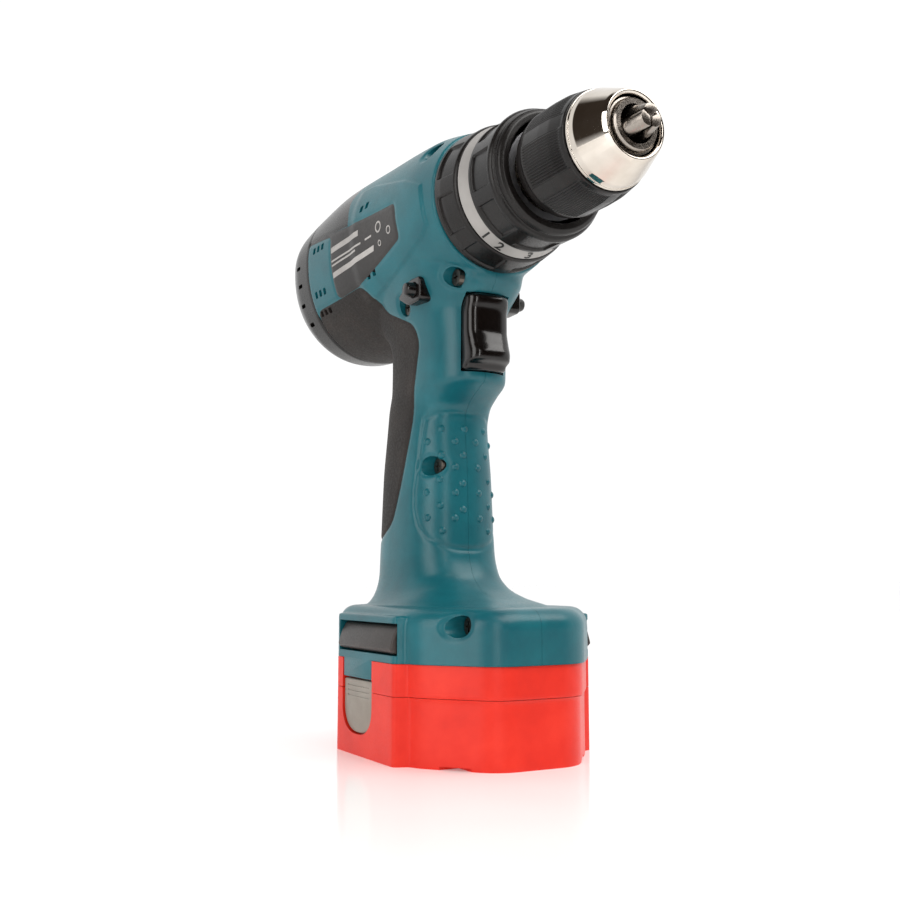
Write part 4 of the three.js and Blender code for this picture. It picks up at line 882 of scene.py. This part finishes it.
def pocket_relief(x0: float, x1: float, radius: float, count: int, wide: float, depth: float,
                  phase: float = 0.0) -> Relief:
    """Relief of shallow rounded pads sunk round a ring.

    Args:
        x0: Rear edge of the pads.
        x1: Front edge.
        radius: Radius used to turn angles into lengths.
        count: Number of pads.
        wide: Width of one pad round the ring.
        depth: How far it is sunk.
        phase: Turn of the first pad, in pads.

    Returns:
        A function of x and angle.
    """

    def sink(x: np.ndarray, angle: np.ndarray) -> np.ndarray:
        """Change of radius at each place."""
        turn = (angle / (2 * math.pi) * count + phase) % 1 - 0.5
        arc = abs(turn) * 2 * math.pi * radius / count
        inside = (1 - smooth_step(arc, wide / 2 - 0.5, wide / 2)) * smooth_step(x, x0, x0 + 0.6)
        return -depth * inside * (1 - smooth_step(x, x1 - 0.6, x1))

    return sink


@dataclass
class Rings:
    """The mode ring, the torque ring and its silver scale."""

    digit_mm: float = 4.3
    # silver cone under the digits: where it starts, its length, and its radius at the start and the end
    cone_x: float = 43.1
    cone_length: float = 6.0
    cone_r: tuple[float, float] = (27.2, 25.4)
    places_deg: tuple[float, ...] = (-127.6, -111.9, -81.9, -51.9, -21.9, 8.1, 38.1, 68.1, 98.1)

    def build(self) -> None:
        """Makes and dresses the rings."""
        mode = lathe("mode_ring_shell", rounded([
            (28.2, 22.6), (28.2, 29.3), (33, 29.2), (41.6, 28.0), (42.7, 27.3), (42.7, 22.6)], 0.5),
            540, 0.45, pocket_relief(30.2, 40.6, 28.5, 8, 15.5, 0.95), 26.0)
        dress(mode, NYLON_BLACK, "mode_selector", "mode_ring", sharp=50)
        band = lathe("scale_band", rounded([(43.2, 23.5), (43.2, 27.1), (49.0, 25.35), (49.0, 23.5)], 0.25),
                     360, 0.5)
        dress(band, PAINT_SILVER, "torque_selector", "number_band")
        ring = lathe("torque_ring_shell", rounded([
            (43.2, 21.9), (43.2, 23.2), (49.3, 23.2), (49.3, 26.05), (56, 26.0), (64, 26.0), (65.2, 25.3),
            (65.8, 24.0), (66.8, 24.0), (67.2, 24.6), (68.6, 24.0), (69.6, 22.6), (69.6, 20.3), (68.6, 20.3),
            (67, 22.4), (54, 22.4)], 0.4),
            540, 0.45, pocket_relief(51.2, 62.6, 26, 8, 15.0, 0.9, 0.5), 25.4)
        dress(ring, NYLON_BLACK, "torque_selector", "torque_ring", sharp=50)
        self.digits()
        LOG.info("rings: mode ring, torque ring, scale with %d digits", len(self.places_deg))

    def digits(self) -> None:
        """Prints the generic scale numbers round the silver band."""
        points: list[Point3] = []
        faces: list[tuple[int, ...]] = []
        for number in range(1, len(self.places_deg) + 1):
            curve = bpy.data.curves.new(f"digit_{number}", "FONT")
            curve.body, curve.size, curve.align_x = str(number), self.digit_mm * 1.35, "CENTER"
            curve.extrude, curve.offset = 0.12, 0.09
            text = linked(curve.name, curve)
            flat = worked_out(text)
            start = len(points)
            middle = math.radians(self.places_deg[number - 1])
            for v in flat.vertices:
                x = 43.95 + v.co.y * 0.96
                wide, narrow = self.cone_r
                r = wide + (x - self.cone_x) * (narrow - wide) / self.cone_length + v.co.z * 0.5
                angle = middle + v.co.x * 1.15 / 26.3
                points.append((x, r * math.cos(angle), AXIS_Z + r * math.sin(angle)))
            faces += [tuple(start + i for i in p.vertices) for p in flat.polygons]
            bpy.data.objects.remove(text)
            bpy.data.meshes.remove(flat)
            bpy.data.curves.remove(curve)
        dress(mesh_object("scale_digits", np.array(points), faces), INK_BLACK, "torque_selector")


@dataclass
class Chuck:
    """The keyless chuck: ribbed sleeve, chrome nose, steel body and three jaws."""

    jaw_r: float = 3.0
    meet_x: float = 130.5
    tip_x: float = 125.9
    tilt: float = math.radians(15)
    groups: int = 6
    ribs: int = 15
    jaw_angles: tuple[float, ...] = tuple(math.pi / 2 + i * 2 * math.pi / 3 for i in range(3))

    def ribbing(self, x: np.ndarray, angle: np.ndarray) -> np.ndarray:
        """Relief of the sleeve: groups of fine ribs with smooth flats between."""
        turn = (angle / (2 * math.pi) * self.groups + 0.2) % 1
        inside = smooth_step(turn, 0.10, 0.13) * (1 - smooth_step(turn, 0.84, 0.87))
        wave = 0.5 - 0.5 * np.cos((turn - 0.1) / 0.74 * 2 * math.pi * self.ribs)
        along = smooth_step(x, 78.4, 79.6) * (1 - smooth_step(x, 98.6, 99.8))
        flat = smooth_step(x, 77.4, 78.0) * (1 - smooth_step(x, 100.2, 100.8)) * 0.25
        return -0.42 * inside * wave * along - flat * (1 - inside)

    def jaw_line(self, angle: float) -> tuple[np.ndarray, np.ndarray]:
        """Returns where a jaw's axis meets the spindle and its direction to the rear."""
        spread = math.sin(self.tilt)
        back = np.array([-math.cos(self.tilt), spread * math.cos(angle), spread * math.sin(angle)])
        return np.array([self.meet_x, 0.0, AXIS_Z]), back

    def jaw(self, index: int) -> None:
        """One round jaw, flat where it faces its neighbours and cut square at the tip."""
        angle = self.jaw_angles[index]
        meet, back = self.jaw_line(angle)
        bar = rod(f"jaw_bar_{index + 1}", tuple(meet + back * 2), tuple(meet + back * 32), self.jaw_r,
                  sides=72)
        reach = [(0.55, 0.0), (60.0, -math.pi / 3), (60.0, 0.0), (60.0, math.pi / 3)]
        wedge = [(d * math.cos(angle + t), AXIS_Z + d * math.sin(angle + t)) for d, t in reach]
        carve(bar, Carve.KEEP, prism("third", wedge, 60, self.tip_x, "X"))
        dress(bevelled(bar, 0.22, 2), STEEL, f"jaw_{index + 1}", f"chuck_jaw_{index + 1}", sharp=30)

    def build(self) -> None:
        """Makes and dresses the chuck."""
        sleeve = lathe("sleeve_shell", rounded([
            (71.9, 12.3), (71.9, 18.6), (73.6, 19.6), (76.8, 20.1), (77.6, 20.55), (88, 20.55), (94, 20.2),
            (101.8, 18.75), (101.8, 16), (98, 17.4), (88, 18.7), (75.3, 18.7), (75.3, 12.3)], 0.6),
            1080, 0.5, self.ribbing, 18.72)
        dress(sleeve, NYLON_BLACK, "sleeve", "chuck_sleeve", sharp=60)
        nose = lathe("chrome_nose_shell", rounded([
            (102.2, 15.6), (102.2, 18.25), (103.4, 18.2), (103.5, 17.85), (105.7, 17.55), (116.5, 13.1),
            (117.85, 12.3), (117.85, 11.7), (117.2, 10.9), (114.5, 11.0), (104.5, 15.2)], 0.35),
            400, 0.4)
        dress(nose, CHROME, "sleeve", "chuck_nose", sharp=50)
        body = lathe("chuck_core", [
            (74.1, 0), (74.1, 11.3), (88, 11.4), (88, 14.2), (104, 14.2), (115.2, 10.2), (116.0, 10.2),
            (116.1, 9.6), (117.6, 9.4), (118.4, 8.8), (118.4, 0)], 300, 0.8)
        tools = [rod("bore", (100, 0, AXIS_Z), (109, 0, AXIS_Z), 5.2),
                 rod("mouth", (108.5, 0, AXIS_Z), (130, 0, AXIS_Z), 6.6, 7.4),
                 rod("rear_bore", (70, 0, AXIS_Z), (92, 0, AXIS_Z), 4.2)]
        for angle in self.jaw_angles:
            meet, back = self.jaw_line(angle)
            tools.append(rod("jaw_slot", tuple(meet - back * 4), tuple(meet + back * 62), self.jaw_r + 0.35))
        carve(body, Carve.CUT, *tools)
        dress(body, STEEL, "spindle", "chuck_body", sharp=30)
        for index in range(len(self.jaw_angles)):
            self.jaw(index)
        LOG.info("chuck: sleeve, nose, core and 3 jaws")


# ---------------------------------------------------------------- controls


@dataclass
class Controls:
    """Trigger, reversing lever and its two bosses."""

    front: Profile = Profile(((153.2, 21.2), (155.4, 22.0), (157.2, 25.6), (159.5, 26.1), (164, 24.7),
                              (170, 23.2), (177, 23.2), (182, 24.4), (185.0, 23.6)))
    half_width: float = 9.8
    rear_x: float = 10.0
    heights: tuple[float, float] = (153.2, 184.6)
    roll: float = 1.6  # radius of the trigger's rolled ends

    def trigger(self) -> None:
        """A long trigger with a lip at the bottom and rolled edges."""
        along, side = super_ring(128, 3.0)
        rings = []
        low, high = self.heights
        for z in np.linspace(low, high, 90):
            ease = min(z - low, high - z) / self.roll
            tuck = self.roll * (1 - math.sqrt(max(0.0, 1 - (1 - min(ease, 1.0)) ** 2)))
            depth = (float(self.front(z)) - self.rear_x) / 2
            x = self.rear_x + depth + along * (depth - tuck * 0.7)
            y = side * (self.half_width - tuck)
            rings.append(np.column_stack([x, y, np.full(len(x), z)]))
        shape = loft("trigger_shell", np.array(rings))
        carve(shape, Carve.JOIN, block("stem", (6.2, 12), (-3, 3), (166, 172)))
        dress(shape, ACETAL_BLACK, "trigger", "trigger", sharp=60)

    def lever(self) -> None:
        """A bar through the housing with a rounded knob at each end."""
        stations = [(-29, 1.7), (-28.7, 2.4), (-27.8, 2.9), (-23, 3.2), (23, 3.2), (27.8, 2.9), (28.7, 2.4),
                    (29, 1.7)]
        t = circle(72)
        rings = [np.column_stack([LEVER_X + r * np.cos(t), np.full(72, y), LEVER_Z + r * np.sin(t)])
                 for y, r in stations]
        dress(loft("lever_bar", np.array(rings)), ACETAL_BLACK, "reversing_lever", "reversing_lever")
        for side, word in SIDES:
            outline = rounded([(-13.6, 187.4), (-4, 182.6), (6.9, 183.0), (6.9, 193.2), (-4, 193.4)], 2.6, 8)
            boss = prism(f"lever_boss_{word}", outline, *between(side, 18.0, 24.6), "Y")
            bevelled(boss, 0.8, 4)
            carve(boss, Carve.CUT, rod("boss_hole", (LEVER_X, -60, LEVER_Z),
                                       (LEVER_X, 60, LEVER_Z), 3.5))
            dress(boss, ACETAL_BLACK, "housing")

    def build(self) -> None:
        """Makes and dresses the controls."""
        self.trigger()
        self.lever()
        LOG.info("controls: trigger, lever and 2 bosses")


# ---------------------------------------------------------------- studio


@dataclass
class Studio:
    """Pale floor, soft boxes, bright background and the camera."""

    azimuth: float = math.radians(61.009)
    elevation: float = math.radians(-6.711)
    roll: float = math.radians(0.036)
    place: Point3 = (397.72, -226.80, 68.85)
    lens: float = 43.859

    def floor(self) -> None:
        """A wide pale sheet with a soft sheen."""
        sheet = mesh_object("floor", np.array([(x, y, 0.0) for x, y in (
            (-20000, -700), (560, -700), (560, 20000), (-20000, 20000))]), [(0, 1, 2, 3)])
        made = bpy.data.materials.new("acrylic_sheet_white")
        made.use_nodes = True
        tree = made.node_tree
        shader = tree.nodes["Principled BSDF"]
        place = add_node(tree, "ShaderNodeTexCoord").outputs["Object"]
        noise = add_node(tree, "ShaderNodeTexNoise", {"Vector": place, "Scale": 9.0, "Detail": 2.0})
        ramp = add_node(tree, "ShaderNodeValToRGB", {"Fac": noise.outputs["Fac"]})
        set_ramp(ramp, [(0.3, linear("#F4F3F2")), (0.7, linear("#FAF9F8"))])
        gloss = add_node(tree, "ShaderNodeMapRange", {"Value": noise.outputs["Fac"], "To Min": 0.10,
                                                      "To Max": 0.16})
        bump = add_node(tree, "ShaderNodeBump", {"Height": noise.outputs["Fac"], "Strength": 0.1,
                                                 "Distance": 0.00002})
        tree.links.new(ramp.outputs["Color"], shader.inputs["Base Color"])
        tree.links.new(gloss.outputs["Result"], shader.inputs["Roughness"])
        tree.links.new(bump.outputs["Normal"], shader.inputs["Normal"])
        shader.inputs["Emission Color"].default_value = (1, 1, 1, 1)
        shader.inputs["Emission Strength"].default_value = 0.17
        shader.inputs["Specular IOR Level"].default_value = 0.5
        sheet.data.materials.append(made)

    def light(self, name: str, place: Point3, size: tuple[float, float], watts: float) -> None:
        """Adds a rectangular soft box aimed at the drill's middle."""
        data = bpy.data.lights.new(name, "AREA")
        data.shape, data.size, data.size_y, data.energy = "RECTANGLE", size[0] * MM, size[1] * MM, watts
        data.color = (1.0, 0.985, 0.965)
        lamp = linked(name, data)
        lamp.location = Vector(place) * MM
        aim = Vector((0, 0, 0.14)) - lamp.location
        lamp.rotation_euler = aim.to_track_quat("-Z", "Y").to_euler()

    def world(self) -> None:
        """White behind the drill, dark room behind the viewer, plain white where the camera sees it."""
        world = bpy.data.worlds.new("studio")
        bpy.context.scene.world = world
        bpy.context.scene.view_settings.view_transform = "Standard"
        world.use_nodes = True
        tree = world.node_tree
        shader = tree.nodes["Background"]
        way = add_node(tree, "ShaderNodeTexCoord").outputs["Generated"]
        toward = (math.sin(self.azimuth), -math.cos(self.azimuth), 0.55)
        dot = add_node(tree, "ShaderNodeVectorMath", {0: way, 1: toward}, operation="DOT_PRODUCT")
        span = add_node(tree, "ShaderNodeMapRange", {"Value": dot.outputs["Value"], "From Min": -1.0,
                                                     "From Max": 1.2})
        ramp = add_node(tree, "ShaderNodeValToRGB", {"Fac": span.outputs["Result"]})
        set_ramp(ramp, [(0.0, (1, 1, 1, 1)), (0.52, (1, 1, 1, 1)), (0.62, linear("#3A332D")),
                        (1.0, linear("#2A2420"))])
        seen = add_node(tree, "ShaderNodeLightPath").outputs["Is Camera Ray"]
        blend = add_node(tree, "ShaderNodeMix", {"Factor": seen, "A": ramp.outputs["Color"],
                                                 "B": (1, 1, 1, 1)}, data_type="RGBA")
        tree.links.new(blend.outputs["Result"], shader.inputs["Color"])
        shader.inputs["Strength"].default_value = 1.05

    def camera(self) -> None:
        """Places the camera."""
        data = bpy.data.cameras.new("camera")
        data.lens, data.sensor_width, data.clip_start, data.clip_end = self.lens, 36.0, 0.01, 100.0
        eye = linked("camera", data)
        a, e, r = self.azimuth, self.elevation, self.roll
        back = Vector((math.sin(a) * math.cos(e), -math.cos(a) * math.cos(e), math.sin(e)))
        right = (-back).cross(Vector((0, 0, 1))).normalized()
        up = right.cross(-back)
        turned_right = right * math.cos(r) + up * math.sin(r)
        turned_up = -right * math.sin(r) + up * math.cos(r)
        pose = Matrix((turned_right, turned_up, back)).transposed().to_4x4()
        pose.translation = Vector(self.place) * MM
        eye.matrix_world = pose
        bpy.context.scene.camera = eye

    def build(self) -> None:
        """Sets up floor, lights, world and camera."""
        self.floor()
        self.light("key_box", (500, 300, 900), (900, 700), 9)
        self.light("right_box", (300, -900, 420), (500, 900), 5)
        self.light("front_box", (820, -330, 300), (70, 800), 1.6)
        self.world()
        self.camera()
        LOG.info("studio ready")


def carry() -> None:
    """Gives every CAD node that stays in view its finish."""
    for finish, nodes in CARRIED.items():
        for node in nodes:
            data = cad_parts[node].data
            data.materials.clear()
            data.materials.append(finish.material())


def main() -> None:
    """Builds every sub-assembly in order."""
    logging.basicConfig(level=logging.INFO, format="%(name)s: %(message)s")
    carry()
    for part in (Housing(), Battery(), Rings(), Chuck(), Controls(), Studio()):
        part.build()


if __name__ == "__main__":
    main()
